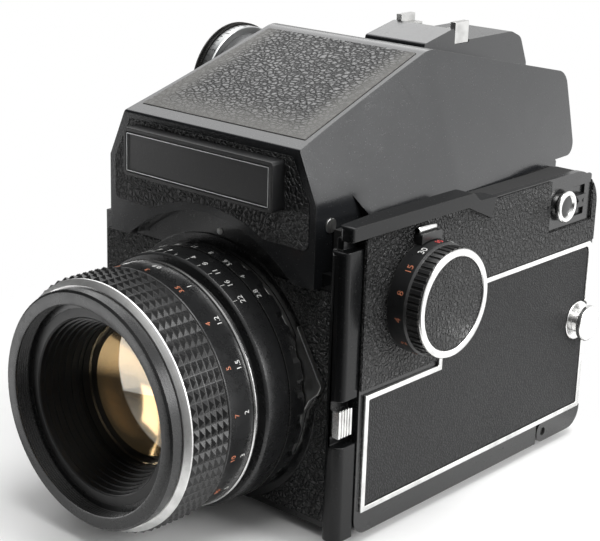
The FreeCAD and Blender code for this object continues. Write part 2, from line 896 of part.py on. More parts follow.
def latch_slide():
    """Waisted slide beside the latch button."""
    y = latch_y + 9.0
    waist = [(y - 2.9, latch_z - 2.0), (y - 0.9, latch_z), (y - 2.9, latch_z + 2.0),
             (y + 2.9, latch_z + 2.0), (y + 0.9, latch_z), (y + 2.9, latch_z - 2.0)]
    return slab_x(waist, body_half_width - 1.0, body_half_width + 0.8)


def strap_lugs():
    """Bright mushroom studs that a strap end clips over."""
    studs = []
    for side in (1, -1):
        shank_low, shank_high = span(side, body_half_width - cover_thickness - 2.6, body_half_width)
        neck_low, neck_high = span(side, body_half_width, body_half_width + lug_proud)
        head_low, head_high = span(side, body_half_width + lug_proud - lug_head_thickness,
                                   body_half_width + lug_proud)
        seat_low, seat_high = span(side, body_half_width, body_half_width + 0.9)
        stud = joined(rod_x(lug_y, lug_z, lug_neck_radius / 2 - running_clearance, shank_low, shank_high),
                      rod_x(lug_y, lug_z, lug_neck_radius, neck_low, neck_high),
                      rod_x(lug_y, lug_z, lug_head_radius - 0.6, head_low, head_high),
                      rod_x(lug_y, lug_z, lug_head_radius, seat_low, seat_high))
        studs.append(stud)
    return group(*studs)


def focusing_screen():
    """Ground glass under the finder."""
    return box(-screen_half_width, screen_half_width, screen_front, screen_rear, screen_seat,
               screen_seat + screen_thickness)


def mirror_plate(low, high, near, half_width):
    """Plate between two depths behind the 45 degree mirror plane, pivoted at its top."""
    plate = box(-half_width, half_width, -mirror_length, -near, low, high)
    plate.rotate(FreeCAD.Vector(0, 0, 0), X_AXIS, 45)
    plate.translate(FreeCAD.Vector(0, mirror_pivot_y, mirror_pivot_z))
    return plate


def mirror_frame():
    """Pressed mirror carrier on its two pivots."""
    plate = mirror_plate(-mirror_frame_thickness / 2, mirror_frame_thickness / 2, 0,
                         mirror_half_width + 0.6)
    pin = rod_x(mirror_pivot_y, mirror_pivot_z, mirror_pin_radius, -mirror_box_half_width - 2.5,
                mirror_box_half_width + 2.5)
    return joined(plate, pin)


def mirror_glass():
    """Reflex mirror."""
    return mirror_plate(mirror_frame_thickness / 2, mirror_frame_thickness / 2 + mirror_glass_thickness,
                        3.0, mirror_half_width)


def side_lever(y, z, angle):
    """Flat lever on the winding side, turned about X from straight up."""
    outside = -body_half_width - leather_thickness
    hub = rod_x(y, z, lever_hub_radius, outside - lever_thickness, -body_half_width)
    shaft = rod_x(y, z, lever_hub_radius - 2, -body_half_width, -body_half_width + cover_thickness + 2)
    blade = slab_x([(y - 2.6, z), (y + 2.6, z), (y + 1.9, z + lever_length, 1.6),
                    (y - 1.9, z + lever_length, 1.6)], outside - lever_thickness, outside - 0.4)
    tip = slab_x(rectangle(y - 1.9, y + 1.9, z + lever_length - 3.5, z + lever_length, 1.2),
                 outside - lever_thickness - 2.0, outside - lever_thickness + 0.5)
    shape = joined(hub, shaft, blade, tip)
    shape.rotate(FreeCAD.Vector(0, y, z), X_AXIS, angle)
    return shape


def mirror_lever():
    """Lever that locks the mirror up before the exposure."""
    return side_lever(mirror_lever_y, mirror_lever_z, 0)


def multi_lever():
    """Lever for more than one exposure on a frame."""
    return side_lever(multi_lever_y, multi_lever_z, 180)


def insert_frame():
    """Removable film holder: front wall and two cheeks with the spool studs."""
    frame = box(-insert_half_width, insert_half_width, insert_front, insert_rear, insert_bottom,
                insert_top)
    inner = box(-insert_half_width + insert_wall, insert_half_width - insert_wall,
                insert_front + insert_wall, insert_rear + 1, insert_bottom - 1, insert_top + 1)
    shape = frame.cut(inner)
    key_hole = rod_x(wind_y, wind_z, wind_shaft_radius + 0.3, -far, -insert_half_width + insert_wall + 1)
    stud = rod_x(wind_y, wind_z, spool_bore_radius - running_clearance,
                 insert_half_width - insert_wall - 4, insert_half_width - insert_wall)
    shape = joined(shape.cut(key_hole), stud)
    supply_z = 2 * lens_axis_height - wind_z + 4
    for side in (-1, 1):
        low, high = span(side, insert_half_width - insert_wall - 1.6, insert_half_width - insert_wall)
        shape = joined(shape, rod_x(wind_y, supply_z, spool_bore_radius - 0.3, low, high))
    return shape


def pressure_plate():
    """Plate that holds the film flat against the gate."""
    half = gate_half_width + 5
    plate = box(-half, half, gate_rear + 0.4, gate_rear + 1.9,
                lens_axis_height - gate_height / 2 - 5, lens_axis_height + gate_height / 2 + 5)
    pads = [rod_y(x, z, 3.0, gate_rear + 1.5, insert_front)
            for x in (-18, 18) for z in (lens_axis_height - 14, lens_axis_height + 14)]
    return joined(plate, *pads)


def takeup_spool():
    """Empty film spool that the crank turns."""
    core = rod_x(wind_y, wind_z, spool_core_radius, -spool_half_length, spool_half_length)
    flanges = []
    for side in (-1, 1):
        low, high = span(side, spool_half_length - spool_flange_thickness, spool_half_length)
        flanges.append(rod_x(wind_y, wind_z, spool_flange_radius, low, high))
    bore = rod_x(wind_y, wind_z, spool_bore_radius, 0, far)
    key_seat = box(-far, -spool_half_length + 4, wind_y - 0.6, wind_y + 0.6,
                   wind_z - wind_shaft_radius, wind_z + wind_shaft_radius)
    film_slot = box(-spool_half_length + 8, spool_half_length - 8, wind_y - 0.7, wind_y + 0.7,
                    wind_z - spool_core_radius - 1, wind_z)
    return joined(core, *flanges).cut([bore, key_seat, film_slot])


def rear_cover():
    """Door over the film chamber, with the foot that carries its hinge."""
    plate = slab_x([(cover_plate_front, panel_bottom), (cover_plate_rear, panel_bottom),
                    (cover_plate_rear, cover_top, 1.5), (cover_plate_front, cover_top)],
                   -cover_half_width, cover_half_width)
    foot = slab_x([(hinge_y - hinge_radius, hinge_z - hinge_radius, 3.2),
                   (cover_plate_rear, hinge_z - hinge_radius, 6.0),
                   (cover_plate_rear, panel_bottom - seat_clearance),
                   (hinge_y - hinge_radius, panel_bottom - seat_clearance, 3.2)],
                  -body_half_width, body_half_width)
    web = box(-cover_half_width, cover_half_width, cover_plate_front, cover_plate_rear,
              hinge_z, panel_bottom + 1)
    shape = joined(plate, foot, web)
    gap = box(-hinge_ear_half_length - seat_clearance, hinge_ear_half_length + seat_clearance,
              hinge_y - hinge_radius - 1, hinge_y + hinge_radius + 1.2, 0, panel_bottom + 0.01)
    bore = rod_x(hinge_y, hinge_z, hinge_pin_radius + running_clearance, -far, far)
    light_trap = box(-chamber_half_width + 2, chamber_half_width - 2, cover_plate_front - 1.5,
                     cover_plate_front, chamber_bottom + 4, chamber_top - 2)
    inner = box(-chamber_half_width + 4, chamber_half_width - 4, cover_plate_front - 2,
                cover_plate_front + 1.2, chamber_bottom + 6, chamber_top - 4)
    return joined(shape, light_trap).cut([gap, bore, inner])


def rear_leather():
    """Leatherette on the rear cover."""
    return slab_y(rectangle(-cover_half_width + 3, cover_half_width - 3, panel_bottom + 3,
                            cover_top - 3, 2.0),
                  cover_plate_rear, cover_plate_rear + leather_thickness)


def hinge_pin():
    """Steel pin of the rear cover's hinge."""
    return rod_x(hinge_y, hinge_z, hinge_pin_radius, -body_half_width + 1, body_half_width - 1)


def shutter_dial():
    """Fluted shutter speed dial with its numbered skirt and shaft."""
    back = body_half_width + trim_height + 0.2
    skirt = rod_x(dial_y, dial_z, dial_skirt_radius, back, back + dial_skirt_thickness)
    rim = [edge for edge in skirt.Edges if abs(edge.BoundBox.XMin - back - dial_skirt_thickness) < 1e-6
           and edge.BoundBox.XLength < 1e-6]
    skirt = skirt.makeChamfer(dial_skirt_chamfer, rim)
    grip = slab_x(shifted(toothed(dial_grip_radius, 0.4, dial_flutes), dial_y, dial_z),
                  back + dial_skirt_thickness, dial_face - dial_ring_thickness)
    shaft = rod_x(dial_y, dial_z, dial_shaft_radius, body_half_width - cover_thickness - 4, back)
    return joined(skirt, grip, shaft)


def shutter_dial_ring():
    """Bright ring on the dial's face."""
    ring = rod_x(dial_y, dial_z, dial_ring_radius, dial_face - dial_ring_thickness, dial_face)
    return ring.cut(rod_x(dial_y, dial_z, dial_ring_bore, 0, far))


def shutter_dial_pad():
    """Leatherette disc inside the dial's ring."""
    return rod_x(dial_y, dial_z, dial_ring_bore - running_clearance,
                 dial_face - dial_ring_thickness, dial_face - 0.3)


def index_block(grow):
    """Arched block over the dial that carries its index."""
    half = index_half_length + grow
    top = index_top() + grow
    bottom = index_top() - index_height - grow
    return slab_x([(dial_y - half, bottom), (dial_y + half, bottom), (dial_y + half, top, 0.8),
                   (dial_y - half, top, 0.8)], body_half_width, body_half_width + index_proud)


def index_top():
    """Height of the index block's flat top."""
    return dial_z + dial_skirt_radius + 2.4


def index_pin(grow):
    """Bright pin that lies on the index block."""
    middle = body_half_width + leather_thickness + index_pin_radius
    return rod_y(middle, index_top() + index_pin_radius, index_pin_radius + grow,
                 dial_y - index_half_length - grow, dial_y - index_half_length + index_pin_length + grow)


def dial_index():
    """Index block, cut to follow the dial's skirt, with its pin."""
    clear = rod_x(dial_y, dial_z, dial_skirt_radius + seat_clearance, 0, far)
    return group(index_block(0).cut(clear), index_pin(0))


def winding_knob():
    """Fluted winding knob with the bed of its folding crank and the spool key."""
    outside = -body_half_width - leather_thickness - 0.2
    face = outside - knob_thickness
    shape = slab_x(shifted(toothed(knob_radius, 0.6, knob_flutes), wind_y, wind_z), face, outside)
    hinge_x, hinge_height = crank_hinge()
    bed = box(face - 1, hinge_x + crank_thickness / 2 + 0.4, wind_y - crank_width / 2 - 0.2,
              wind_y + crank_width / 2 + 0.2, hinge_height - crank_reach - grip_radius - 1.2, far)
    pocket = box(face - 1, hinge_x + crank_thickness / 2 + grip_length + 0.4,
                 wind_y - grip_radius - 0.3, wind_y + grip_radius + 0.3,
                 hinge_height - crank_reach - grip_radius - 2.2,
                 hinge_height - crank_reach + grip_radius + 0.6)
    pin_bore = rod_y(hinge_x, hinge_height, crank_pin_radius + running_clearance,
                     wind_y - crank_width / 2 - 2.5, wind_y + crank_width / 2 + 2.5)
    shaft = rod_x(wind_y, wind_z, wind_shaft_radius, outside, -insert_half_width + insert_wall - 0.2)
    key = box(-insert_half_width + insert_wall - 0.3, -spool_half_length + 2, wind_y - 0.5, wind_y + 0.5,
              wind_z - wind_shaft_radius + 0.4, wind_z + wind_shaft_radius - 0.4)
    return joined(shape.cut([bed, pocket, pin_bore]), shaft, key)


def crank_hinge():
    """Place of the crank's hinge pin in x and z."""
    face = -body_half_width - leather_thickness - 0.2 - knob_thickness
    return face + crank_thickness / 2 + 0.1, wind_z + crank_hinge_offset


def crank_arm():
    """Folding crank, lying in the knob, with its hinge pin and grip stud."""
    hinge_x, hinge_height = crank_hinge()
    half = crank_thickness / 2
    end = hinge_height - crank_reach
    arm = slab_y([(hinge_x - half, hinge_height + half, half - 0.01), (hinge_x - half, end - 2.6),
                  (hinge_x + half, end - 2.6), (hinge_x + half, hinge_height + half, half - 0.01)],
                 wind_y - crank_width / 2, wind_y + crank_width / 2)
    pin = rod_y(hinge_x, hinge_height, crank_pin_radius, wind_y - crank_width / 2 - 2.4,
                wind_y + crank_width / 2 + 2.4)
    stud = rod_x(wind_y, end, 1.0, hinge_x, hinge_x + half + grip_length - 0.4)
    return joined(arm, pin, stud)


def crank_grip():
    """Small turning grip at the end of the crank."""
    hinge_x, hinge_height = crank_hinge()
    low = hinge_x + crank_thickness / 2
    grip = rod_x(wind_y, hinge_height - crank_reach, grip_radius, low + 0.05, low + grip_length)
    return grip.cut(rod_x(wind_y, hinge_height - crank_reach, 1.0 + running_clearance, -far, 0))


def button_collar():
    """Turning lock collar round the release button."""
    front = body_front - front_plate_thickness
    collar = slab_y(shifted(toothed(collar_radius, 0.5, 24), button_x, button_z),
                    front - collar_proud, front)
    return collar.cut(rod_y(button_x, button_z, button_radius + slide_clearance, -far, far))


def shutter_button():
    """Release button on its stem."""
    front = body_front - front_plate_thickness
    head = rod_y(button_x, button_z, button_radius, front - button_proud, front - button_travel - 0.2)
    stem = rod_y(button_x, button_z, button_stem_radius, front - button_travel - 0.3,
                 body_front + 2)
    rim = [edge for edge in head.Edges if edge.BoundBox.YMax < front - button_proud + 1e-6]
    return joined(head.makeFillet(0.8, rim), stem)


def finder_profile():
    """Side outline of the finder above the shoulders."""
    return [(finder_nose_y, hood_bottom), (finder_nose_y, finder_nose_z, 1.0),
            (finder_apex_y, finder_apex_z, finder_ridge_radius),
            (finder_rear_top_y, finder_rear_top_z, 5.0),
            (finder_rear_y, body_top + 0.3, 4.0), (casting_rear - 0.3, body_top + 0.3),
            (casting_rear - 0.3, hood_bottom)]


def flare_section(y, foot, top, top_height):
    """Cross-section of the flared sides, carried on above the roof."""
    ceiling = finder_apex_z + 3
    slope = (foot - top) / (top_height - body_top)
    low = hood_bottom
    low_half = foot + slope * (body_top - hood_bottom)
    high_half = foot - slope * (ceiling - body_top)
    corners = [FreeCAD.Vector(-low_half, y, low), FreeCAD.Vector(low_half, y, low),
               FreeCAD.Vector(high_half, y, ceiling), FreeCAD.Vector(-high_half, y, ceiling)]
    return Part.makePolygon(corners + [corners[0]])


def finder_hood():
    """Solid outside of the finder's roof and flared sides."""
    front = flare_section(finder_nose_y, finder_foot_half_width, finder_nose_half_width, finder_nose_z)
    middle = flare_section(finder_apex_y, finder_foot_half_width + 0.5, finder_apex_half_width,
                           finder_apex_z)
    rear = flare_section(finder_rear_y + 1, finder_foot_rear_half_width, finder_rear_half_width,
                         finder_rear_top_z)
    flare = Part.makeLoft([front, middle, rear], True, True)
    roof = slab_x(finder_profile(), -far, far)
    hood = flare.common(roof)
    tuck = slab_x([(-far, body_top - 2), (crease_foot + 1.2, body_top - 2), (crease_foot, body_top + 0.6),
                   (crease_rear, crease_height), (-far, crease_height)], apron_half_width, far)
    return hood.cut([tuck, mirrored(tuck)])


def finder_housing():
    """Finder shell with its apron, prism cavity and eyepiece tunnel."""
    skirt = box(-apron_half_width, apron_half_width, finder_nose_y, casting_rear - 0.3, finder_floor,
                body_top)
    apron = box(-apron_half_width, apron_half_width, finder_nose_y, finder_nose_y + apron_thickness,
                apron_bottom, finder_floor + 1)
    shape = joined(finder_hood(), skirt, apron)
    front = body_front - front_plate_thickness
    tongue = box(-tongue_half_width - 0.3, tongue_half_width + 0.3, front - 0.1,
                 body_front + 0.2, 0, tongue_top + 0.3)
    plate = box(-far, far, front - 0.1, body_front + 0.2, 0, finder_floor + 0.1)
    arch = rod_y(0, lens_axis_height, arch_radius, finder_nose_y - 1, front)
    cavity = slab_x(prism_outline(seat_clearance), -27 - seat_clearance, 27 + seat_clearance)
    well = box(-27, 27, -50, 20, finder_floor - 1, finder_floor + 4)
    tunnel = rod_y(0, eyepiece_axis_height, eyepiece_bore, 30, finder_rear_y + 5)
    holes = []
    for side in (-1, 1):
        low, high = span(side, apron_half_width - screw_length, far)
        holes.append(rod_x(finder_screw_y(), body_top, screw_shank_radius + running_clearance, low, high))
        low, high = span(side, apron_half_width + 0.3 - screw_head_height, far)
        holes.append(rod_x(finder_screw_y(), body_top, screw_head_radius + slide_clearance, low, high))
    dial_room = rod_x(finder_dial_y, finder_dial_z, finder_dial_radius + 0.8, -far, finder_dial_inside + 0.1)
    boss = rod_x(finder_dial_y, finder_dial_z, finder_boss_radius, finder_dial_inside + 0.1, -30)
    shape = joined(shape.cut(dial_room), boss)
    socket = rod_x(finder_dial_y, finder_dial_z, 3.0 + running_clearance, -far, -33)
    return shape.cut([tongue, plate, arch, cavity, well, tunnel, socket] + holes)


def prism_outline(grow):
    """Side view of the roof prism, or of the cavity round it."""
    return [(-50.0 - grow, 79.0 - grow), (-50.0 - grow, 92.0 + grow), (-8.0, 116.0 + grow),
            (30.0 + grow, 108.0 + grow), (30.0 + grow, 90.0), (18.0, 79.0 - grow)]


def roof_prism():
    """Glass prism that turns the screen's picture to the eyepiece."""
    return slab_x(prism_outline(0), -27, 27)


def roof_slope_point(distance, lift):
    """Point on the slanted finder face, measured up from the nose edge."""
    run = finder_apex_y - finder_nose_y
    rise = finder_apex_z - finder_nose_z
    length = math.hypot(run, rise)
    along = distance / length
    y = finder_nose_y + run * along - rise / length * lift
    z = finder_nose_z + rise * along + run / length * lift
    return y, z


def roof_leather():
    """Leatherette on the slanted face of the finder."""
    length = math.hypot(finder_apex_y - finder_nose_y, finder_apex_z - finder_nose_z)
    corners = []
    for distance, side in ((roof_leather_low, -1), (roof_leather_low, 1), (roof_leather_high, 1),
                           (roof_leather_high, -1)):
        half = finder_nose_half_width - (finder_nose_half_width - finder_apex_half_width) * distance / length
        y, z = roof_slope_point(distance, 0)
        corners.append(FreeCAD.Vector(side * (half - roof_leather_margin), y, z))
    face = Part.Face(Part.makePolygon(corners + [corners[0]]))
    y_low, z_low = roof_slope_point(0, 0)
    y_high, z_high = roof_slope_point(0, finder_leather_thickness)
    return face.extrude(FreeCAD.Vector(0, y_high - y_low, z_high - z_low))


def brow_leather():
    """Leatherette on the front of the finder, round the name block."""
    low_half = apron_half_width - brow_leather_margin
    high_half = finder_nose_half_width - brow_leather_margin
    sheet = slab_y([(-low_half, brow_leather_bottom, 2.0), (low_half, brow_leather_bottom, 2.0),
                    (low_half, crease_height - brow_leather_margin), (high_half, brow_leather_top, 1.0),
                    (-high_half, brow_leather_top, 1.0), (-low_half, crease_height - brow_leather_margin)],
                   finder_nose_y - finder_leather_thickness, finder_nose_y)
    block = slab_y(rectangle(-name_block_half_width, name_block_half_width, name_block_bottom,
                             name_block_top), finder_nose_y - 1, finder_nose_y + 1)
    arch = rod_y(0, lens_axis_height, arch_radius + brow_leather_margin, finder_nose_y - 1,
                 finder_nose_y + 1)
    return sheet.cut([block, arch])


def finder_leather():
    """Pebbled leatherette on the finder's slanted face and front."""
    return group(roof_leather(), brow_leather())


def nameplate():
    """Bare raised block on the front of the finder, with a thin border."""
    front = finder_nose_y - name_block_depth
    block = slab_y(rectangle(-name_block_half_width, name_block_half_width, name_block_bottom,
                             name_block_top, 1.0), front, finder_nose_y)
    panel = slab_y(rectangle(-name_block_half_width + name_border, name_block_half_width - name_border,
                             name_block_bottom + name_border, name_block_top - name_border, 0.5),
                   front - 1, front + 0.4)
    return block.cut(panel)


def eyepiece_block():
    """Raised block on the roof that runs back over the eyepiece."""
    profile = [(eyepiece_front, 110.0), (eyepiece_front, 124.4, 1.2), (shoe_front - 0.8, 127.7, 0.8),
               (shoe_front, 126.5), (shoe_front, shoe_floor - shoe_sheet),
               (shoe_front + shoe_length + 0.4, shoe_floor - shoe_sheet),
               (shoe_front + shoe_length + 0.6, shoe_floor - 0.2),
               (61.2, shoe_floor, 4.0), (66.5, 121.5, 4.0), (eyepiece_rear, 112.7, 3.0),
               (eyepiece_rear, 93.0, 3.0), (finder_rear_y - 4, 91.0)]
    shape = slab_x(profile, -eyepiece_half_width, eyepiece_half_width)
    bore = rod_y(0, eyepiece_axis_height, eyepiece_bore, 0, far)
    return shape.cut([finder_hood(), bore])


def eyepiece_glass():
    """Eyepiece lens."""
    return rod_y(0, eyepiece_axis_height, eyepiece_bore - running_clearance, eyepiece_rear - 3.0,
                 eyepiece_rear - 0.6)


def eyecup():
    """Rubber ring round the eyepiece."""
    ring = rod_y(0, eyepiece_axis_height, eyecup_radius, eyepiece_rear, eyepiece_rear + eyecup_length)
    rim = [edge for edge in ring.Edges if edge.BoundBox.YMin > eyepiece_rear + eyecup_length - 1e-6]
    ring = ring.makeFillet(1.4, rim)
    return ring.cut(rod_y(0, eyepiece_axis_height, eyepiece_bore, 0, far))


def accessory_shoe():
    """Short bright shoe, open to the rear."""
    half = eyepiece_half_width
    floor = box(-half, half, shoe_front, shoe_front + shoe_length, shoe_floor - shoe_sheet, shoe_floor)
    lip_low = shoe_floor + shoe_slot_height
    shape = floor
    for side in (-1, 1):
        low, high = span(side, shoe_slot_half_width, half)
        wall = box(low, high, shoe_front, shoe_front + shoe_length, shoe_floor - shoe_sheet, shoe_top)
        low, high = span(side, shoe_mouth_half_width, half)
        lip = box(low, high, shoe_front, shoe_front + shoe_length, lip_low, lip_low + shoe_sheet)
        shape = joined(shape, wall, lip)
    return shape


def finder_dial():
    """Knurled ring dial on the finder's side."""
    ring = slab_x(shifted(toothed(finder_dial_radius, 0.5, finder_dial_teeth), finder_dial_y,
                          finder_dial_z), finder_dial_outside, finder_dial_inside)
    bed = rod_x(finder_dial_y, finder_dial_z, speed_disc_radius + slide_clearance, -far,
                finder_dial_outside + 2.0)
    hole = rod_x(finder_dial_y, finder_dial_z, 3.0 + running_clearance, -far, far)
    return ring.cut([bed, hole])


def film_speed_disc():
    """Inner disc of the finder dial on its own shaft."""
    disc = rod_x(finder_dial_y, finder_dial_z, speed_disc_radius, finder_dial_outside - speed_disc_proud,
                 finder_dial_outside + 2.0)
    shaft = rod_x(finder_dial_y, finder_dial_z, 3.0, finder_dial_outside + 1.9, -34)
    return joined(disc, shaft)


def lens_barrel():
    """Fixed barrel: bayonet flange, ring seats, depth scale and helicoid tube."""
    seat = body_front - front_plate_thickness - mount_proud
    return turned([(seat, barrel_bore), (seat, lens_flange_radius),
                   (aperture_ring_rear + 0.2, lens_flange_radius),
                   (aperture_ring_rear + 0.2, barrel_radius),
                   (aperture_ring_front - 0.2, barrel_radius),
                   (aperture_ring_front - 0.2, depth_ring_radius),
                   (depth_ring_front + 0.6, depth_ring_radius),
                   (depth_ring_front, depth_ring_radius - 0.6),
                   (depth_ring_front, barrel_radius), (barrel_front, barrel_radius),
                   (barrel_front, barrel_bore)])


def aperture_ring():
    """Fluted ring that sets the lens opening."""
    centre = shifted(toothed(aperture_ring_radius, 0.8, aperture_flutes), 0, lens_axis_height)
    grip = slab_y(centre, aperture_ring_front + aperture_rim, aperture_ring_rear)
    rim = rod_y(0, lens_axis_height, aperture_ring_radius, aperture_ring_front,
                aperture_ring_front + aperture_rim)
    bore = rod_y(0, lens_axis_height, barrel_radius + seat_clearance, -far, far)
    return joined(grip, rim).cut(bore)


def waffle_section(y, flat_radius):
    """Regular outline whose flats face the columns of pyramids."""
    pitch = 2 * math.pi / waffle_columns
    radius = flat_radius / math.cos(pitch / 2)
    corners = []
    for column in range(waffle_columns):
        angle = (column + 0.5) * pitch
        corners.append(FreeCAD.Vector(radius * math.cos(angle), y,
                                      lens_axis_height + radius * math.sin(angle)))
    return Part.makePolygon(corners + [corners[0]])


def waffle_grip():
    """Rows of blunt pyramids: straight teeth crossed by flat-sided grooves."""
    base_radius = focus_grip_radius - waffle_depth
    pitch = (focus_grip_rear - focus_ring_front) / waffle_rows
    sections = [waffle_section(focus_ring_front, base_radius)]
    for row in range(waffle_rows):
        y = focus_ring_front + row * pitch
        sections.append(waffle_section(y + pitch * 0.36, focus_grip_radius + 0.1))
        sections.append(waffle_section(y + pitch * 0.64, focus_grip_radius + 0.1))
        sections.append(waffle_section(y + pitch, base_radius))
    rows = Part.makeLoft(sections, True, True)
    columns = slab_y(shifted(toothed(focus_grip_radius, waffle_depth, waffle_columns, 0.2), 0,
                             lens_axis_height), focus_ring_front, focus_grip_rear)
    return columns.common(rows)


def focus_ring():
    """Focusing ring: rows of pyramids, then the smooth distance scale and a bead."""
    bead_front = focus_ring_rear - focus_bead_width
    sleeve = turned([(focus_grip_rear - 0.5, focus_bore + 0.4),
                     (focus_grip_rear - 0.5, focus_scale_radius - 0.2),
                     (focus_grip_rear, focus_scale_radius), (bead_front, focus_scale_radius),
                     (bead_front, focus_bead_radius), (focus_ring_rear, focus_bead_radius),
                     (focus_ring_rear, focus_bore + 0.4)])
    bore = rod_y(0, lens_axis_height, focus_bore, -far, far)
    return joined(waffle_grip(), sleeve).cut(bore)


def front_barrel():
    """Travelling front barrel with the filter thread."""
    rear = focus_ring_front + 6
    return turned([(rim_front, filter_radius), (rim_front, rim_radius - 0.6), (rim_front + 0.6, rim_radius),
                   (chrome_front, rim_radius), (chrome_front, barrel_radius - 2.2),
                   (rear, barrel_radius - 2.2), (rear, cell_radius),
                   (rim_front + filter_thread_length, cell_radius),
                   (rim_front + filter_thread_length, filter_radius)])


def chrome_ring():
    """Bright ring in front of the focusing grip."""
    rear = focus_ring_front - 0.1
    return turned([(chrome_front, barrel_radius - 2.2), (chrome_front, chrome_front_radius),
                   (rear, chrome_rear_radius), (rear, barrel_radius - 2.2)])


def lens_baffle():
    """Stepped funnel inside the front barrel."""
    start = rim_front + filter_thread_length
    stop = glass_front - 1.0
    step = (stop - start) / funnel_steps
    fall = (funnel_outer_radius - 0.5 - funnel_inner_radius) / funnel_steps
    seat_radius = cell_radius - running_clearance
    profile = [(start, seat_radius)]
    radius = funnel_outer_radius - 0.5
    for number in range(funnel_steps):
        y = start + number * step
        profile.append((y, radius))
        profile.append((y + step * 0.6, radius - fall * 0.3))
        profile.append((y + step * 0.6, radius - fall))
        radius -= fall
    profile.append((stop, radius))
    profile.append((stop, seat_radius))
    return turned(profile)


def optics_cell():
    """Tube that carries the glass and travels with the front barrel."""
    front = glass_front - 1.0
    return turned([(front, front_glass_radius + 0.05), (front, cell_radius), (cell_rear, cell_radius),
                   (cell_rear, rear_glass_radius + 0.05), (diaphragm_y + 4, rear_glass_radius + 0.05),
                   (diaphragm_y + 4, iris_radius + 3), (diaphragm_y + 0.5, iris_radius + 3),
                   (diaphragm_y + 0.5, rear_glass_radius + 2), (diaphragm_y - 0.5, rear_glass_radius + 2),
                   (diaphragm_y - 0.5, iris_radius + 3), (diaphragm_y - 4, iris_radius + 3),
                   (diaphragm_y - 4, front_glass_radius + 0.05)])


def dome(y, radius, edge, bulge):
    """Glass disc with one domed face towards the front."""
    sphere_radius = (radius * radius + bulge * bulge) / (2 * bulge)
    ball = Part.makeSphere(sphere_radius, FreeCAD.Vector(0, y - bulge + sphere_radius, lens_axis_height))
    return ball.common(rod_y(0, lens_axis_height, radius, y - bulge - 1, y + edge))


def lens_elements():
    """Front and rear glass."""
    front = dome(glass_front + 1.5, front_glass_radius, front_glass_edge, front_glass_bulge)
    rear = rod_y(0, lens_axis_height, rear_glass_radius, cell_rear - 6, cell_rear - 1.5)
    return group(front, rear)


def diaphragm():
    """Iris between the glass groups, wide open."""
    ring = rod_y(0, lens_axis_height, rear_glass_radius + 2 - running_clearance, diaphragm_y - 0.4,
                 diaphragm_y + 0.4)
    corners = [(iris_radius * math.cos(math.radians(60 * k)), iris_radius * math.sin(math.radians(60 * k)))
               for k in range(6)]
    opening = slab_y(shifted(corners, 0, lens_axis_height), diaphragm_y - 1, diaphragm_y + 1)
    return ring.cut(opening)


def preview_lever():
    """Small lever by the mount that closes the lens to its set opening."""
    front = aperture_ring_rear + 0.4
    rear = body_front - front_plate_thickness - mount_surround_height - 0.1
    inside = lens_flange_radius + 0.3
    ring = rod_y(0, lens_axis_height, inside + 1.4, front, rear)
    outline_points = [(inside + 0.2, 10.0), (inside + 1.4, 16.0), (preview_reach - 1.2, 2.4, 1.5),
                      (preview_reach, 0.0, 0.8), (preview_reach - 1.4, -2.2, 0.8),
                      (inside + 3.4, -4.6, 1.5), (inside + 0.2, -9.0)]
    tab = slab_y(outline_points, front, rear)
    tab.rotate(FreeCAD.Vector(0, 0, 0), Y_AXIS, -preview_angle)
    tab.translate(FreeCAD.Vector(0, 0, lens_axis_height))
    return joined(ring, tab).cut(rod_y(0, lens_axis_height, inside, -far, far))


PIECES = {
    "body_casting": body_casting,
    "shutter_curtain": shutter_curtain,
    "base_plate": base_plate,
    "case_screws": case_screws,
    "tripod_bush": tripod_bush,
    "battery_cover": battery_cover,
    "side_covers": side_covers,
    "side_trims": side_trims,
    "lower_leathers": lower_leathers,
    "upper_leathers": upper_leathers,
    "shoulder_rails": shoulder_rails,
    "front_plate": front_plate,
    "front_leather": front_leather,
    "front_pillar": front_pillar,
    "lens_release": lens_release,
    "lens_mount_ring": lens_mount_ring,
    "latch_plate": latch_plate,
    "latch_button": latch_button,
    "latch_slide": latch_slide,
    "strap_lugs": strap_lugs,
    "focusing_screen": focusing_screen,
    "mirror_frame": mirror_frame,
    "mirror_glass": mirror_glass,
    "mirror_lever": mirror_lever,
    "multi_lever": multi_lever,
    "insert_frame": insert_frame,
    "pressure_plate": pressure_plate,
    "takeup_spool": takeup_spool,
    "rear_cover": rear_cover,
    "rear_leather": rear_leather,
    "hinge_pin": hinge_pin,
    "shutter_dial": shutter_dial,
    "shutter_dial_ring": shutter_dial_ring,
    "shutter_dial_pad": shutter_dial_pad,
    "dial_index": dial_index,
    "winding_knob": winding_knob,
    "crank_arm": crank_arm,
    "crank_grip": crank_grip,
    "button_collar": button_collar,
    "shutter_button": shutter_button,
    "finder_housing": finder_housing,
    "roof_prism": roof_prism,
    "finder_leather": finder_leather,
    "nameplate": nameplate,
    "eyepiece_block": eyepiece_block,
    "eyepiece_glass": eyepiece_glass,
    "eyecup": eyecup,
    "accessory_shoe": accessory_shoe,
    "finder_dial": finder_dial,
    "film_speed_disc": film_speed_disc,
    "lens_barrel": lens_barrel,
    "aperture_ring": aperture_ring,
    "preview_lever": preview_lever,
    "focus_ring": focus_ring,
    "front_barrel": front_barrel,
    "chrome_ring": chrome_ring,
    "lens_baffle": lens_baffle,
    "optics_cell": optics_cell,
    "lens_elements": lens_elements,
    "diaphragm": diaphragm,
}


def main():
    """Build every piece and write it under its own name."""
    os.makedirs("parts", exist_ok=True)
    for name, build in PIECES.items():
        shape = build()
        print(f"{name}: {len(shape.Solids)} solids, valid {shape.isValid()}, {shape.Volume / 1000:.2f} cm3")
        shape.exportStep(f"parts/{name}.step")


main()
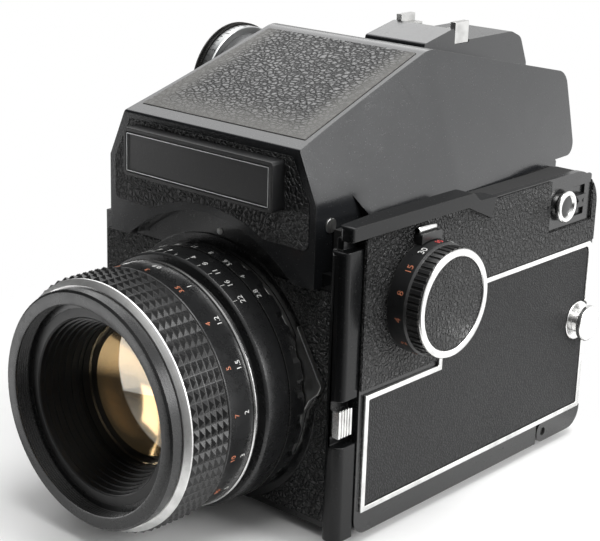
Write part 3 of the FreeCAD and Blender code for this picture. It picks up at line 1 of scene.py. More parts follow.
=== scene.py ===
"""Looks of the medium format reflex camera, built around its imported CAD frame.

Units are metres in the frame of the CAD part: +Z up, -Y towards the subject along the lens axis,
+X towards the photographer's left hand, and the origin in the middle of the base.
"""
from __future__ import annotations

import json
import logging
import math
from contextlib import contextmanager
from dataclasses import dataclass
from enum import Enum
from typing import Iterator, Sequence, Union

import bpy
from mathutils import Matrix, Vector

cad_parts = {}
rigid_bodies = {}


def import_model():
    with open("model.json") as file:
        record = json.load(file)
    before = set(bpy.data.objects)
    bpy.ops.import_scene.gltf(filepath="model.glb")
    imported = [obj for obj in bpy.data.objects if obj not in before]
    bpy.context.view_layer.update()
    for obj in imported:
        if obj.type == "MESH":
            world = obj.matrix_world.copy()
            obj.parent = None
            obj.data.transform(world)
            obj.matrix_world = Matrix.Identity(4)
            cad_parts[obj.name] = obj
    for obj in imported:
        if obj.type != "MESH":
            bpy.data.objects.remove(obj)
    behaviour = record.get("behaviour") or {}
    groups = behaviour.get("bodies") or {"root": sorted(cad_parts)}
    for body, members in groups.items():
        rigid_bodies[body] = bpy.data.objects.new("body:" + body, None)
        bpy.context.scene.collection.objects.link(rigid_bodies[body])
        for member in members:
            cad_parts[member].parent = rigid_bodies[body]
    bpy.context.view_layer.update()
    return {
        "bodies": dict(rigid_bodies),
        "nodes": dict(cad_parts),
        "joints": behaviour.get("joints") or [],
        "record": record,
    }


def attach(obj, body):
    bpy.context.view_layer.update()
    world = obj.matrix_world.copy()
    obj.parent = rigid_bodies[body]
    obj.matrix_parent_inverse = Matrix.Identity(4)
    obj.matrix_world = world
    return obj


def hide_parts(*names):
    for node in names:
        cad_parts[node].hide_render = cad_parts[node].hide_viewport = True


log = logging.getLogger("camera")

MM = 0.001
LENS_HEIGHT = 38.9
PAINT_GAP = 0.02
Number = Union[int, float]
Profile = Sequence[tuple[float, float]]
Place = tuple[float, float, float]
Colour = tuple[float, float, float, float]


class Wire:
    """A shader socket that takes part in sums."""

    def __init__(self, graph: "Graph", socket: bpy.types.NodeSocket) -> None:
        """Keep the socket with the graph that it belongs to."""
        self.graph = graph
        self.socket = socket

    def _with(self, operation: str, first: "Feed", second: "Feed") -> "Wire":
        """Add one Math node.

        Args:
            operation: the Math node's operation.
            first: its first value or link.
            second: its second value or link.

        Returns:
            The node's result.
        """
        return self.graph.add("ShaderNodeMath", {"operation": operation}, {0: first, 1: second})

    def __add__(self, other: "Feed") -> "Wire":
        """Sum."""
        return self._with("ADD", self, other)

    __radd__ = __add__

    def __mul__(self, other: "Feed") -> "Wire":
        """Product."""
        return self._with("MULTIPLY", self, other)

    __rmul__ = __mul__

    def __sub__(self, other: "Feed") -> "Wire":
        """Difference."""
        return self._with("SUBTRACT", self, other)

    def __rsub__(self, other: "Feed") -> "Wire":
        """Difference from a number."""
        return self._with("SUBTRACT", other, self)

    def __gt__(self, other: "Feed") -> "Wire":
        """1 where this is greater, else 0."""
        return self._with("GREATER_THAN", self, other)

    def __abs__(self) -> "Wire":
        """Size without its sign."""
        return self._with("ABSOLUTE", self, 0)

    def at_least(self, other: "Feed") -> "Wire":
        """The greater of the two."""
        return self._with("MAXIMUM", self, other)


Feed = Union[Wire, Number, Sequence[float]]
Sockets = dict[Union[str, int], Feed]


def opaque(colour: Place, factor: float = 1.0, lift: float = 0.0) -> Colour:
    """Colour times factor plus lift, with full alpha."""
    red, green, blue = (channel * factor + lift for channel in colour)
    return red, green, blue, 1.0


class Graph:
    """Node tree of one material, or of the world."""

    def __init__(self, owner: bpy.types.Material | bpy.types.World) -> None:
        """Empty the owner's node tree."""
        self.owner = owner
        owner.use_nodes = True
        self.tree = owner.node_tree
        self.tree.nodes.clear()

    @classmethod
    def named(cls, name: str) -> "Graph":
        """Start a new material of that name."""
        return cls(bpy.data.materials.new(name))

    def add(self, kind: str, settings: dict[str, object] | None = None,
            inputs: Sockets | None = None, output: str | int | None = 0) -> Wire | None:
        """Add any node.

        Args:
            kind: type name of the node.
            settings: its settings, and "stops" for a colour ramp.
            inputs: value or link of each socket, by name or number.
            output: the socket that is handed on, or None where there is none.

        Returns:
            The chosen output.
        """
        node = self.tree.nodes.new(kind)
        for key, value in (settings or {}).items():
            if key == "stops":
                self._set_stops(node, value)
            else:
                setattr(node, key, value)
        for key, value in (inputs or {}).items():
            if isinstance(value, Wire):
                self.tree.links.new(value.socket, node.inputs[key])
            else:
                node.inputs[key].default_value = value
        return None if output is None else Wire(self, node.outputs[output])

    @staticmethod
    def _set_stops(node: bpy.types.Node, stops: Sequence[tuple[float, Number]]) -> None:
        """Fill a colour ramp with grey stops of (position, value)."""
        elements = node.color_ramp.elements
        while len(elements) < len(stops):
            elements.new(0.5)
        for element, (position, value) in zip(elements, stops):
            element.position = position
            element.color = (value, value, value, 1)

    def place(self, scale: Place = (1, 1, 1)) -> Wire:
        """Object coordinates, scaled."""
        coordinates = self.add("ShaderNodeTexCoord", output="Object")
        return self.add("ShaderNodeMapping", None, {"Vector": coordinates, "Scale": scale})

    def axis(self, where: Wire, letter: str) -> Wire:
        """One coordinate of a place."""
        return self.add("ShaderNodeSeparateXYZ", None, {"Vector": where}, output=letter)

    def noise(self, where: Wire, size: float, detail: float = 3.0, roughness: float = 0.55) -> Wire:
        """Cloudy noise whose patches are about size millimetres across."""
        return self.add("ShaderNodeTexNoise", None,
                        {"Vector": where, "Scale": 1 / (size * MM), "Detail": detail, "Roughness": roughness})

    def cells(self, where: Wire, size: float) -> Wire:
        """Distance to the nearest border of irregular cells about size millimetres across."""
        return self.add("ShaderNodeTexVoronoi", {"feature": "DISTANCE_TO_EDGE"},
                        {"Vector": where, "Scale": 1 / (size * MM), "Randomness": 1.0})

    def ramp(self, value: Wire, stops: Sequence[tuple[float, Number]]) -> Wire:
        """Remap a value through grey stops."""
        return self.add("ShaderNodeValToRGB", {"stops": stops}, {"Fac": value})

    def blend(self, factor: Feed, first: Feed, second: Feed) -> Wire:
        """Mix two colours."""
        return self.add("ShaderNodeMix", {"data_type": "RGBA"}, {"Factor": factor, 6: first, 7: second},
                        output=2)

    def bump(self, height: Wire, depth: float) -> Wire:
        """Bump of a height field, depth in millimetres from 0 to 1."""
        return self.add("ShaderNodeBump", None, {"Height": height, "Distance": depth * MM, "Strength": 1.0})

    def edges(self, radius: float) -> Wire:
        """Mask that is high along the edges, where wear and painted edge highlights go."""
        soft = self.add("ShaderNodeBevel", {"samples": 6}, {"Radius": radius * MM})
        plain = self.add("ShaderNodeNewGeometry", output="Normal")
        return self.ramp(1 - self.dot(soft, plain), [(0.02, 0), (0.12, 1)])

    def vector(self, operation: str, first: Feed, second: Feed, output: str = "Vector") -> Wire:
        """Add one Vector Math node.

        Args:
            operation: the node's operation.
            first: its first value or link.
            second: its second value or link.
            output: the result that is handed on.

        Returns:
            The node's result.
        """
        return self.add("ShaderNodeVectorMath", {"operation": operation}, {0: first, 1: second}, output)

    def dot(self, first: Feed, second: Feed) -> Wire:
        """Dot product of two vectors."""
        return self.vector("DOT_PRODUCT", first, second, "Value")

    def between(self, value: Wire, low: float, high: float, least: float = 0.0, most: float = 1.0) -> Wire:
        """Smooth step.

        Args:
            value: what it follows.
            low: the value where it starts.
            high: the value where it ends.
            least: the result up to low.
            most: the result from high on.

        Returns:
            The step.
        """
        return self.add("ShaderNodeMapRange", {"interpolation_type": "SMOOTHSTEP"},
                        {"Value": value, "From Min": low, "From Max": high, "To Min": least, "To Max": most})

    def surface(self, inputs: Sockets) -> bpy.types.Material:
        """Close the tree with a Principled shader.

        Args:
            inputs: its sockets.

        Returns:
            The finished material.
        """
        self.close(self.add("ShaderNodeBsdfPrincipled", None, inputs))
        return self.owner

    def close(self, shader: Wire, kind: str = "ShaderNodeOutputMaterial") -> None:
        """Send a shader to the output."""
        self.add(kind, None, {"Surface": shader}, output=None)


class Finish:
    """Base of all finishes: each is made once and shared."""

    name: str
    made: dict["Finish", bpy.types.Material] = {}

    def material(self) -> bpy.types.Material:
        """The finish as a material."""
        if self not in Finish.made:
            graph = Graph.named(self.name)
            Finish.made[self] = graph.surface(self.sockets(graph, graph.place()))
        return Finish.made[self]

    def sockets(self, graph: Graph, where: Wire) -> Sockets:
        """Values and links of the finish's Principled shader.

        Args:
            graph: the material's node tree.
            where: object coordinates.

        Returns:
            Each value or link by its socket's name.
        """
        raise NotImplementedError


@dataclass(frozen=True)
class Enamel(Finish):
    """Sprayed enamel on metal, with fine orange peel, handling marks, and pale edges that are partly wear and
    partly a painted edge highlight.
    """

    name: str
    colour: Place = (0.006, 0.0062, 0.0065)
    roughness: float = 0.24
    peel: float = 0.006
    rubbed_and_sheen: float = 0.2
    coat: float = 0.15
    gloss: float = 0.5
    dust: Place = (0.16, 0.16, 0.155)
    # pale colour of the edges: metal where the paint wears off, and also a painted edge highlight
    metal: Place = (0.2, 0.19, 0.17)

    def sockets(self, graph: Graph, where: Wire) -> Sockets:
        """Clouded enamel with dust, and pale edges that are partly wear and partly painted highlight."""
        cloud = graph.noise(where, 14, 4)
        fine = graph.noise(where, 0.25, 3)
        marks = graph.ramp(graph.noise(graph.place((1, 0.25, 1)), 1.6, 5, 0.7), [(0.56, 0), (0.72, 1)])
        dust = graph.ramp(graph.noise(where, 0.5, 2), [(0.66, 0), (0.74, 1)])
        # pale edges: partly wear, partly a painted highlight along them
        wear_and_sheen = graph.edges(0.35) * graph.ramp(fine, [(0.4, 0), (0.62, 1)]) * self.rubbed_and_sheen
        colour = graph.blend(cloud * 0.5, opaque(self.colour), opaque(self.colour, 1.8, 0.003))
        colour = graph.blend(dust * 0.12, colour, opaque(self.dust))
        colour = graph.blend(wear_and_sheen, colour, opaque(self.metal))
        rough = cloud * 0.1 + marks * 0.08 + dust * 0.1 + (self.roughness - 0.05)
        peel = graph.bump(graph.noise(where, 0.8, 2), self.peel * 4)
        return {"Base Color": colour, "Roughness": rough, "Normal": peel, "Coat Weight": self.coat,
                "Coat Roughness": 0.12, "Specular IOR Level": self.gloss}


@dataclass(frozen=True)
class Leatherette(Finish):
    """Embossed leatherette: irregular pebbles with creases between them."""

    name: str
    pebble: float = 1.45
    depth: float = 0.75
    colour: Place = (0.006, 0.0062, 0.0064)
    roughness: float = 0.22
    grey: float = 0.003
    gloss: float = 0.5
    pore_colour: Place = (0.11, 0.11, 0.108)

    def sockets(self, graph: Graph, where: Wire) -> Sockets:
        """Pebbles of two sizes with fine pores on them."""
        wander = graph.add("ShaderNodeTexNoise", None,
                           {"Vector": where, "Scale": 1 / (self.pebble * 2.2 * MM), "Detail": 2.0},
                           output="Color")
        centred = graph.vector("SUBTRACT", wander, (0.5, 0.5, 0.5))
        bent = graph.add("ShaderNodeVectorMath", {"operation": "SCALE"},
                         {0: centred, "Scale": self.pebble * 0.9 * MM})
        moved = graph.vector("ADD", where, bent)
        pebble = graph.ramp(graph.cells(moved, self.pebble), [(0.0, 0), (0.08, 0.35), (0.22, 0.78), (0.5, 1)])
        wrinkle = graph.ramp(graph.cells(moved, self.pebble * 0.45), [(0.0, 0), (0.25, 1)])
        pore = graph.noise(where, 0.16, 2)
        pressed = self.pressed_flat(graph, where)
        height = (pebble * 0.75 + wrinkle * 0.2) * (1 - pressed) + pore * 0.12
        colour = graph.blend(pebble, opaque(self.colour), opaque(self.colour, 1.5, self.grey))
        colour = graph.blend(graph.ramp(pore, [(0.6, 0), (0.75, 1)]) * 0.12, colour, opaque(self.pore_colour))
        # wear and painted sheen, where a kind of leatherette has them
        colour = self.rubbed_and_sheen(graph, where, colour, pebble, pressed)
        rough = graph.noise(where, 22, 3) * 0.12 + (1 - pebble) * 0.25 + (self.roughness - 0.06)
        return {"Base Color": colour, "Roughness": rough, "Normal": graph.bump(height, self.depth),
                "Specular IOR Level": self.gloss}

    def pressed_flat(self, graph: Graph, where: Wire) -> Feed:
        """1 where the grain is pressed flat: nowhere on a plain panel."""
        return 0.0

    def rubbed_and_sheen(self, graph: Graph, where: Wire, colour: Wire, pebble: Wire, pressed: Feed) -> Wire:
        """Colour after wear and painted sheen: unchanged on a plain panel.

        Args:
            graph: the material's node tree.
            where: object coordinates.
            colour: colour of the new leatherette.
            pebble: 1 on the pebbles' crowns, 0 between them.
            pressed: 1 where the grain is pressed flat.

        Returns:
            The leatherette's colour with its wear and painted sheen.
        """
        return colour


@dataclass(frozen=True)
class RoofLeather(Leatherette):
    """Leatherette of the finder's roof, with a painted sheen that lightens its pebbles' crowns, and lighter
    brownish grey and pressed flat along its sides and its low edge.
    """

    margin: Place = (0.06, 0.058, 0.052)
    # light grey of the painted sheen on the roof's crowns
    wear_and_sheen: Place = (0.19, 0.19, 0.19)
    side_start: float = 19.0
    side_end: float = 28.0
    low_start: float = 115.5
    low_end: float = 110.0
    brow_top: float = 106.5

    def pressed_flat(self, graph: Graph, where: Wire) -> Feed:
        """1 on the roof's margins."""
        side = graph.between(abs(graph.axis(where, "X")), self.side_start * MM, self.side_end * MM)
        height = graph.axis(where, "Z")
        low = 1 - graph.between(height, self.low_end * MM, self.low_start * MM)
        return side.at_least(low) * (height > self.brow_top * MM)

    def rubbed_and_sheen(self, graph: Graph, where: Wire, colour: Wire, pebble: Wire, pressed: Feed) -> Wire:
        """Colour with a painted sheen on the roof's crowns and its margins lighter brownish grey."""
        on_roof = graph.axis(where, "Z") > self.brow_top * MM
        # painted sheen: the pebbles' crowns go light grey on the roof, not on the brow below it
        tops = graph.ramp(pebble, [(0.45, 0), (0.95, 1)]) * on_roof
        crowns = graph.blend(tops, colour, opaque(self.wear_and_sheen))
        return graph.blend(pressed, crowns, opaque(self.margin))


@dataclass(frozen=True)
class Plating(Finish):
    """Chrome, or bare steel where it is darker, with stains and pits."""

    name: str
    colour: Place = (0.86, 0.86, 0.85)
    roughness: float = 0.2
    stain: float = 0.25
    pit_colour: Place = (0.25, 0.2, 0.15)

    def sockets(self, graph: Graph, where: Wire) -> Sockets:
        """Metal with stains, pits and a fine grain."""
        cloud = graph.noise(where, 5, 4)
        grain = graph.noise(graph.place((1, 1, 6)), 0.4, 3)
        pits = graph.ramp(graph.noise(where, 0.45, 3, 0.7), [(0.64, 0), (0.72, 1)])
        stains = graph.ramp(cloud, [(0.42, 0), (0.7, 1)])
        colour = graph.blend(stains, opaque(self.colour), opaque(self.colour, 1 - self.stain))
        colour = graph.blend(pits * 0.5, colour, opaque(self.pit_colour))
        rough = cloud * 0.14 + grain * 0.1 + pits * 0.2 + (self.roughness - 0.1)
        return {"Base Color": colour, "Metallic": 1.0, "Roughness": rough, "Normal": graph.bump(grain, 0.008)}


@dataclass(frozen=True)
class Anodised(Finish):
    """Black anodised aluminium with fine marks square to the lens axis, as a lathe leaves them."""

    name: str
    colour: Place = (0.008, 0.0082, 0.0085)
    roughness: float = 0.3
    lathe: float = 0.35
    rubbed_and_sheen: float = 0.3
    metal: Place = (0.3, 0.29, 0.27)

    def sockets(self, graph: Graph, where: Wire) -> Sockets:
        """Clouded metal with lathe marks, smears and rubbed edges."""
        cloud = graph.noise(where, 9, 4)
        fine = graph.noise(where, 0.3, 3)
        rings = graph.noise(graph.place((0.04, 1, 0.04)), self.lathe, 1)
        wear_and_sheen = graph.edges(0.3) * graph.ramp(fine, [(0.38, 0), (0.6, 1)]) * self.rubbed_and_sheen
        smear = graph.ramp(graph.noise(where, 3.2, 5, 0.7), [(0.5, 0), (0.75, 1)])
        colour = graph.blend(cloud, opaque(self.colour), opaque(self.colour, 1.8, 0.003))
        colour = graph.blend(wear_and_sheen, colour, opaque(self.metal))
        rough = cloud * 0.1 + smear * 0.1 + fine * 0.05 + (self.roughness - 0.1)
        return {"Base Color": colour, "Roughness": rough, "Normal": graph.bump(rings, 0.01),
                "Specular IOR Level": 0.55}


@dataclass(frozen=True)
class Moulding(Finish):
    """Moulded plastic or rubber with a fine spark-eroded grain."""

    name: str
    colour: Place = (0.02, 0.02, 0.02)
    roughness: float = 0.6
    grain: float = 0.3

    def sockets(self, graph: Graph, where: Wire) -> Sockets:
        """Clouded plastic with grit."""
        cloud = graph.noise(where, 8, 3)
        grit = graph.noise(where, self.grain, 3, 0.6)
        colour = graph.blend(cloud * 0.6 + grit * 0.3, opaque(self.colour), opaque(self.colour, 1.6, 0.006))
        rough = cloud * 0.12 + (self.roughness - 0.06)
        return {"Base Color": colour, "Roughness": rough, "Normal": graph.bump(grit, 0.03)}


@dataclass(frozen=True)
class MarkPaint(Finish):
    """Engraver's paint of the scales, a little uneven."""

    name: str
    colour: Place

    def sockets(self, graph: Graph, where: Wire) -> Sockets:
        """Paint with thin patches."""
        patch = graph.noise(where, 0.6, 3)
        thin = graph.ramp(patch, [(0.35, 0), (0.7, 1)])
        colour = graph.blend(thin, opaque(self.colour), opaque(self.colour, 0.6))
        return {"Base Color": colour, "Roughness": patch * 0.2 + 0.4}


@dataclass(frozen=True)
class CoatedGlass(Finish):
    """Optical glass with a coloured anti-reflection coating."""

    name: str
    tint: Place
    body: Place = (0.9, 0.88, 0.82)
    coat: float = 1.0
    silver: float = 0.0
    haze: float = 0.005

    def sockets(self, graph: Graph, where: Wire) -> Sockets:
        """Clear glass with a faint film on it."""
        film = graph.noise(where, 7, 3)
        tint = opaque(self.tint)
        return {"Base Color": graph.blend(film * 0.2, opaque(self.body), tint),
                "Roughness": film * 0.02 + self.haze, "Metallic": self.silver, "Transmission Weight": 1.0,
                "IOR": 1.52, "Specular IOR Level": 0.9, "Specular Tint": tint, "Coat Weight": self.coat,
                "Coat Tint": tint, "Coat Roughness": 0.02}


@dataclass(frozen=True)
class SilverGlass(Finish):
    """Front-silvered mirror with a faint haze."""

    name: str
    colour: Place = (0.88, 0.89, 0.9)
    hazy: Place = (0.7, 0.71, 0.72)

    def sockets(self, graph: Graph, where: Wire) -> Sockets:
        """Silver with haze."""
        haze = graph.noise(where, 6, 4)
        return {"Base Color": graph.blend(haze * 0.3, opaque(self.colour), opaque(self.hazy)),
                "Metallic": 1.0, "Roughness": haze * 0.05 + 0.01}


class Look(Enum):
    """The finishes of this camera, each by what it covers."""

    CASTING = Enamel("Casting enamel")
    FINDER = Enamel("Finder enamel", (0.009, 0.0097, 0.0108), 0.22, 0.004, 0.25, 0.2)
    # darker, less glossy copy of the casting enamel for the pillar and rails: painted shade for the dark
    # reflection that they show
    DARK_ENAMEL = Enamel("Enamel darkened as painted shade", (0.004, 0.0042, 0.0045), 0.2, 0.004, 0.3, 0.0, 0.25)
    INSIDE = Moulding("Flocked inside", (0.006, 0.006, 0.006), 0.8, 0.5)
    FINE_LEATHER = Leatherette("Fine leatherette", 0.8, 0.22, (0.008, 0.0083, 0.0087), 0.42, 0.003, 0.35)
    COARSE_LEATHER = Leatherette("Coarse leatherette", depth=0.9, roughness=0.2)
    # darker copy of the leatherette, with bigger pebbles, for the front, which stands in shade: painted shade
    FRONT_LEATHER = Leatherette("Front leatherette darkened as painted shade", 1.6, 1.5, (0.004, 0.0042, 0.0044), 0.14, 0.001, 0.6)
    ROOF_LEATHER = RoofLeather("Roof leatherette", 1.6, 0.7, (0.006, 0.0062, 0.0064), 0.3, 0.003)
    CHROME = Plating("Bright chrome")
    SATIN = Plating("Satin chrome", (0.8, 0.8, 0.79), 0.38)
    STEEL = Plating("Turned steel", (0.55, 0.55, 0.54), 0.3)
    LENS = Anodised("Lens anodising")
    LENS_INSIDE = Anodised("Lens inside", (0.002, 0.002, 0.0021), 0.42, 0.6, 0.05)
    DIAL = Anodised("Dial anodising", (0.008, 0.0082, 0.0085), 0.32, 0.5, 0.35)
    DISC = Plating("Disc metal", (0.52, 0.53, 0.53), 0.36, 0.08)
    # strong pale edges on the name panel: mostly a painted highlight along its raised edge, with some wear
    NAME_PANEL = Enamel("Name panel with painted edge highlight", (0.007, 0.0072, 0.0076), 0.34, 0.006, 0.9, 0.0)
    BUTTON = Plating("Button metal", (0.72, 0.72, 0.71), 0.22)
    RUBBER = Moulding("Rubber", (0.018, 0.018, 0.018), 0.7, 0.4)
    PLASTIC = Moulding("Inner plastic", (0.02, 0.02, 0.021), 0.5, 0.3)
    WHITE = MarkPaint("White marks", (0.82, 0.82, 0.8))
    ORANGE = MarkPaint("Orange marks", (0.62, 0.22, 0.12))
    RED = MarkPaint("Red marks", (0.6, 0.08, 0.08))
    BLACK = MarkPaint("Black marks", (0.012, 0.012, 0.012))
    FRONT_GLASS = CoatedGlass("Front glass", (1.0, 0.95, 0.86), (0.97, 0.96, 0.94))
    INNER_GLASS = CoatedGlass("Inner glass", (1.0, 0.95, 0.86), (0.97, 0.87, 0.72), 0.5, 0.9, 0.1)
    CLEAR_GLASS = CoatedGlass("Clear glass", (0.75, 0.8, 0.95))
    MIRROR = SilverGlass("Mirror silver")

    def material(self) -> bpy.types.Material:
        """The finish as a material."""
        return self.value.material()


@dataclass(frozen=True)
class Axle:
    """Axis that pieces and scales are set round."""

    centre: Place = (0, 0, LENS_HEIGHT)
    direction: Place = (0, 1, 0)

    def foot(self) -> Vector:
        """Centre without its part along the axis."""
        direction = Vector(self.direction)
        return Vector(self.centre) - direction * Vector(self.centre).dot(direction)


class Bench:
    """The modelling bench: operators that act on one piece at a time, in millimetres and degrees."""

    merge_distance = 0.002
    flat_angle = 0.6
    sharp_angle = 28
    shading_angle = 50
    capital_share = 0.7
    label_lift = 0.05

    @staticmethod
    def clear() -> None:
        """Leave edit mode and let go of every object."""
        if bpy.context.mode != "OBJECT":
            bpy.ops.object.mode_set(mode="OBJECT")
        bpy.ops.object.select_all(action="DESELECT")

    @classmethod
    def take(cls, piece: bpy.types.Object) -> None:
        """Make one piece the only selected and active one."""
        cls.clear()
        piece.select_set(True)
        bpy.context.view_layer.objects.active = piece

    @staticmethod
    def named(name: str) -> bpy.types.Object:
        """Name the active object and its mesh."""
        piece = bpy.context.active_object
        piece.name = name
        piece.data.name = name
        return piece

    @staticmethod
    @contextmanager
    def editing(everything: bool = True) -> Iterator[None]:
        """Edit the active piece.

        Args:
            everything: selects all of it; else what was chosen before stays selected.
        """
        bpy.ops.object.mode_set(mode="EDIT")
        if everything:
            bpy.ops.mesh.select_all(action="SELECT")
        yield
        bpy.ops.object.mode_set(mode="OBJECT")

    @classmethod
    def modify(cls, piece: bpy.types.Object, kind: str, **settings: object) -> None:
        """Apply one modifier.

        Args:
            piece: the piece to change.
            kind: the modifier's type.
            settings: its settings by name.
        """
        cls.take(piece)
        modifier = piece.modifiers.new(kind.title(), kind)
        for key, value in settings.items():
            setattr(modifier, key, value)
        bpy.ops.object.modifier_apply(modifier=modifier.name)

    @classmethod
    def smooth(cls, piece: bpy.types.Object, angle: float = 35) -> bpy.types.Object:
        """Shade smooth below that angle."""
        cls.take(piece)
        bpy.ops.object.shade_smooth_by_angle(angle=math.radians(angle))
        return piece

    @classmethod
    def edged(cls, node: str, width: float, segments: int = 2) -> bpy.types.Object:
        """Copy of a CAD node with real rounded edges.

        Args:
            node: the CAD node's name.
            width: width of its bevels.
            segments: faces across each bevel.

        Returns:
            The new piece.
        """
        piece = bpy.data.objects.new(node + "_edged", bpy.data.objects[node].data.copy())
        bpy.context.scene.collection.objects.link(piece)
        cls.take(piece)
        bpy.ops.mesh.customdata_custom_splitnormals_clear()
        with cls.editing():
            bpy.ops.mesh.remove_doubles(threshold=cls.merge_distance * MM)
            bpy.ops.mesh.dissolve_limited(angle_limit=math.radians(cls.flat_angle))
        cls.modify(piece, "BEVEL", width=width * MM, segments=segments, limit_method="ANGLE",
                   angle_limit=math.radians(cls.sharp_angle), use_clamp_overlap=True,
                   miter_outer="MITER_ARC")
        cls.smooth(piece, cls.shading_angle)
        cls.modify(piece, "WEIGHTED_NORMAL", keep_sharp=True, weight=60)
        return piece

    @classmethod
    def turned(cls, name: str, profile: Profile, steps: int = 128, corner: float = 0.0,
               axle: Axle = Axle()) -> bpy.types.Object:
        """Piece turned from a closed profile.

        Args:
            name: the piece's name.
            profile: the corners in order, as (place along the axis, radius).
            steps: faces round the axis.
            corner: rounding of the profile's corners.
            axle: the axis.

        Returns:
            The new piece.
        """
        cls.clear()
        bpy.ops.mesh.primitive_circle_add(vertices=len(profile), radius=MM, fill_type="NOTHING")
        piece = cls.named(name)
        for vertex, (along, radius) in zip(piece.data.vertices, profile):
            spot = Vector(axle.direction) * along + Vector((0, 0, radius))
            vertex.co = (spot + axle.foot()) * MM
        with cls.editing():
            if corner:
                bpy.ops.mesh.bevel(offset=corner * MM, segments=2, affect="VERTICES")
                bpy.ops.mesh.select_all(action="SELECT")
            bpy.ops.mesh.spin(steps=steps, angle=2 * math.pi, center=Vector(axle.centre) * MM,
                              axis=axle.direction)
            bpy.ops.mesh.select_all(action="SELECT")
            bpy.ops.mesh.remove_doubles(threshold=cls.merge_distance * MM)
            bpy.ops.mesh.dissolve_degenerate(threshold=cls.merge_distance / 2 * MM)
            bpy.ops.mesh.normals_make_consistent(inside=False)
        return piece

    @classmethod
    def label(cls, name: str, words: str, size: float, place: Matrix) -> bpy.types.Object:
        """Raised numeral.

        Args:
            name: the piece's name.
            words: the characters.
            size: height of a capital in millimetres.
            place: matrix whose X is the reading direction and Z the way out, in millimetres.

        Returns:
            The new piece.
        """
        cls.clear()
        bpy.ops.object.text_add()
        text = bpy.context.active_object.data
        text.body = words
        text.size = size / cls.capital_share * MM
        text.extrude = cls.label_lift * MM
        text.resolution_u = 3
        text.align_x = "CENTER"
        text.align_y = "CENTER"
        bpy.ops.object.convert(target="MESH")
        piece = cls.named(name)
        metres = place.copy()
        metres.translation = place.translation * MM
        piece.data.transform(metres)
        return piece

    @classmethod
    def merge(cls, name: str, pieces: Sequence[bpy.types.Object]) -> bpy.types.Object:
        """Join pieces into one mesh."""
        cls.clear()
        for piece in pieces:
            piece.select_set(True)
        bpy.context.view_layer.objects.active = pieces[0]
        bpy.ops.object.join()
        return cls.named(name)


def facing(out: Vector, up: Vector, spot: Vector) -> Matrix:
    """Matrix that sets a label.

    Args:
        out: the way that it looks.
        up: the way that it stands.
        spot: its middle.

    Returns:
        The matrix, whose X is the reading direction.
    """
    reading = up.cross(out).normalized()
    matrix = Matrix((reading, up.normalized(), out.normalized())).transposed().to_4x4()
    matrix.translation = spot
    return matrix


class Assembly:
    """The CAD frame, and the ways in which pieces are set on its bodies."""

    def __init__(self, frame: dict[str, object]) -> None:
        """Remember the frame and each node's slot and body."""
        self.frame = frame
        record = frame["record"]
        self.slots = {part["node"]: part["material_slot"] for part in record["subparts"]}
        self.bodies = {node: body for body, nodes in record["behaviour"]["bodies"].items() for node in nodes}

    def fit(self, piece: bpy.types.Object, look: Look, node: str, replaces: Sequence[str] = ()) -> None:
        """Finish a piece and let it ride with a node's body.

        Args:
            piece: the finished mesh.
            look: its finish.
            node: the node whose body it shares.
            replaces: nodes that it stands for.
        """
        piece.data.materials.clear()
        piece.data.materials.append(look.material())
        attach(piece, self.bodies[node])
        if replaces:
            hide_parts(*replaces)
        log.info("%s rides on %s", piece.name, self.bodies[node])

    def edged(self, node: str, look: Look, width: float, segments: int = 2) -> None:
        """Replace a node by its copy with rounded edges.

        Args:
            node: the CAD node's name.
            look: its finish.
            width: width of its bevels.
            segments: faces across each bevel.
        """
        self.fit(Bench.edged(node, width, segments), look, node, [node])

    def turned(self, name: str, profile: Profile, look: Look, node: str, replaces: Sequence[str] = (),
               angle: float = 35, **settings: object) -> None:
        """Turn a piece, smooth it and fit it.

        Args:
            name: the piece's name.
            profile: its closed profile.
            look: its finish.
            node: the node whose body it shares.
            replaces: nodes that it stands for.
            angle: below this it is shaded smooth.
            settings: steps, corner and axle of Bench.turned.
        """
        piece = Bench.smooth(Bench.turned(name, profile, **settings), angle)
        self.fit(piece, look, node, replaces)

    def plain(self, node: str, look: Look) -> None:
        """Keep a node's own mesh and give it its finish."""
        piece = self.frame["nodes"][node]
        for slot in piece.material_slots:
            slot.material = look.material()
        if not piece.material_slots:
            piece.data.materials.append(look.material())


@dataclass
class RingScale:
    """Numerals round an axis."""

    name: str
    words: Sequence[str]
    angles: Sequence[float]
    radius: float
    along: float
    size: float
    look: Look
    axle: Axle = Axle()

    def build(self, assembly: Assembly, node: str) -> None:
        """Set the numerals on a node.

        Args:
            assembly: the assembly that they belong to.
            node: the node that carries them.
        """
        axis = Vector(self.axle.direction)
        across = axis.cross(Vector((0, 0, 1)))
        pieces = []
        for number, (word, angle) in enumerate(zip(self.words, self.angles)):
            turn = math.radians(angle)
            out = Vector((0, 0, 1)) * math.cos(turn) + across * math.sin(turn)
            spot = self.axle.foot() + axis * self.along + out * self.radius
            pieces.append(Bench.label(f"{self.name}_{number}", word, self.size, facing(out, -axis, spot)))
        assembly.fit(Bench.merge(self.name, pieces), self.look, node)


@dataclass
class Dress:
    """Base of the sub-assemblies' looks."""

    assembly: Assembly

    def build(self) -> None:
        """Make every piece of the sub-assembly."""
        raise NotImplementedError


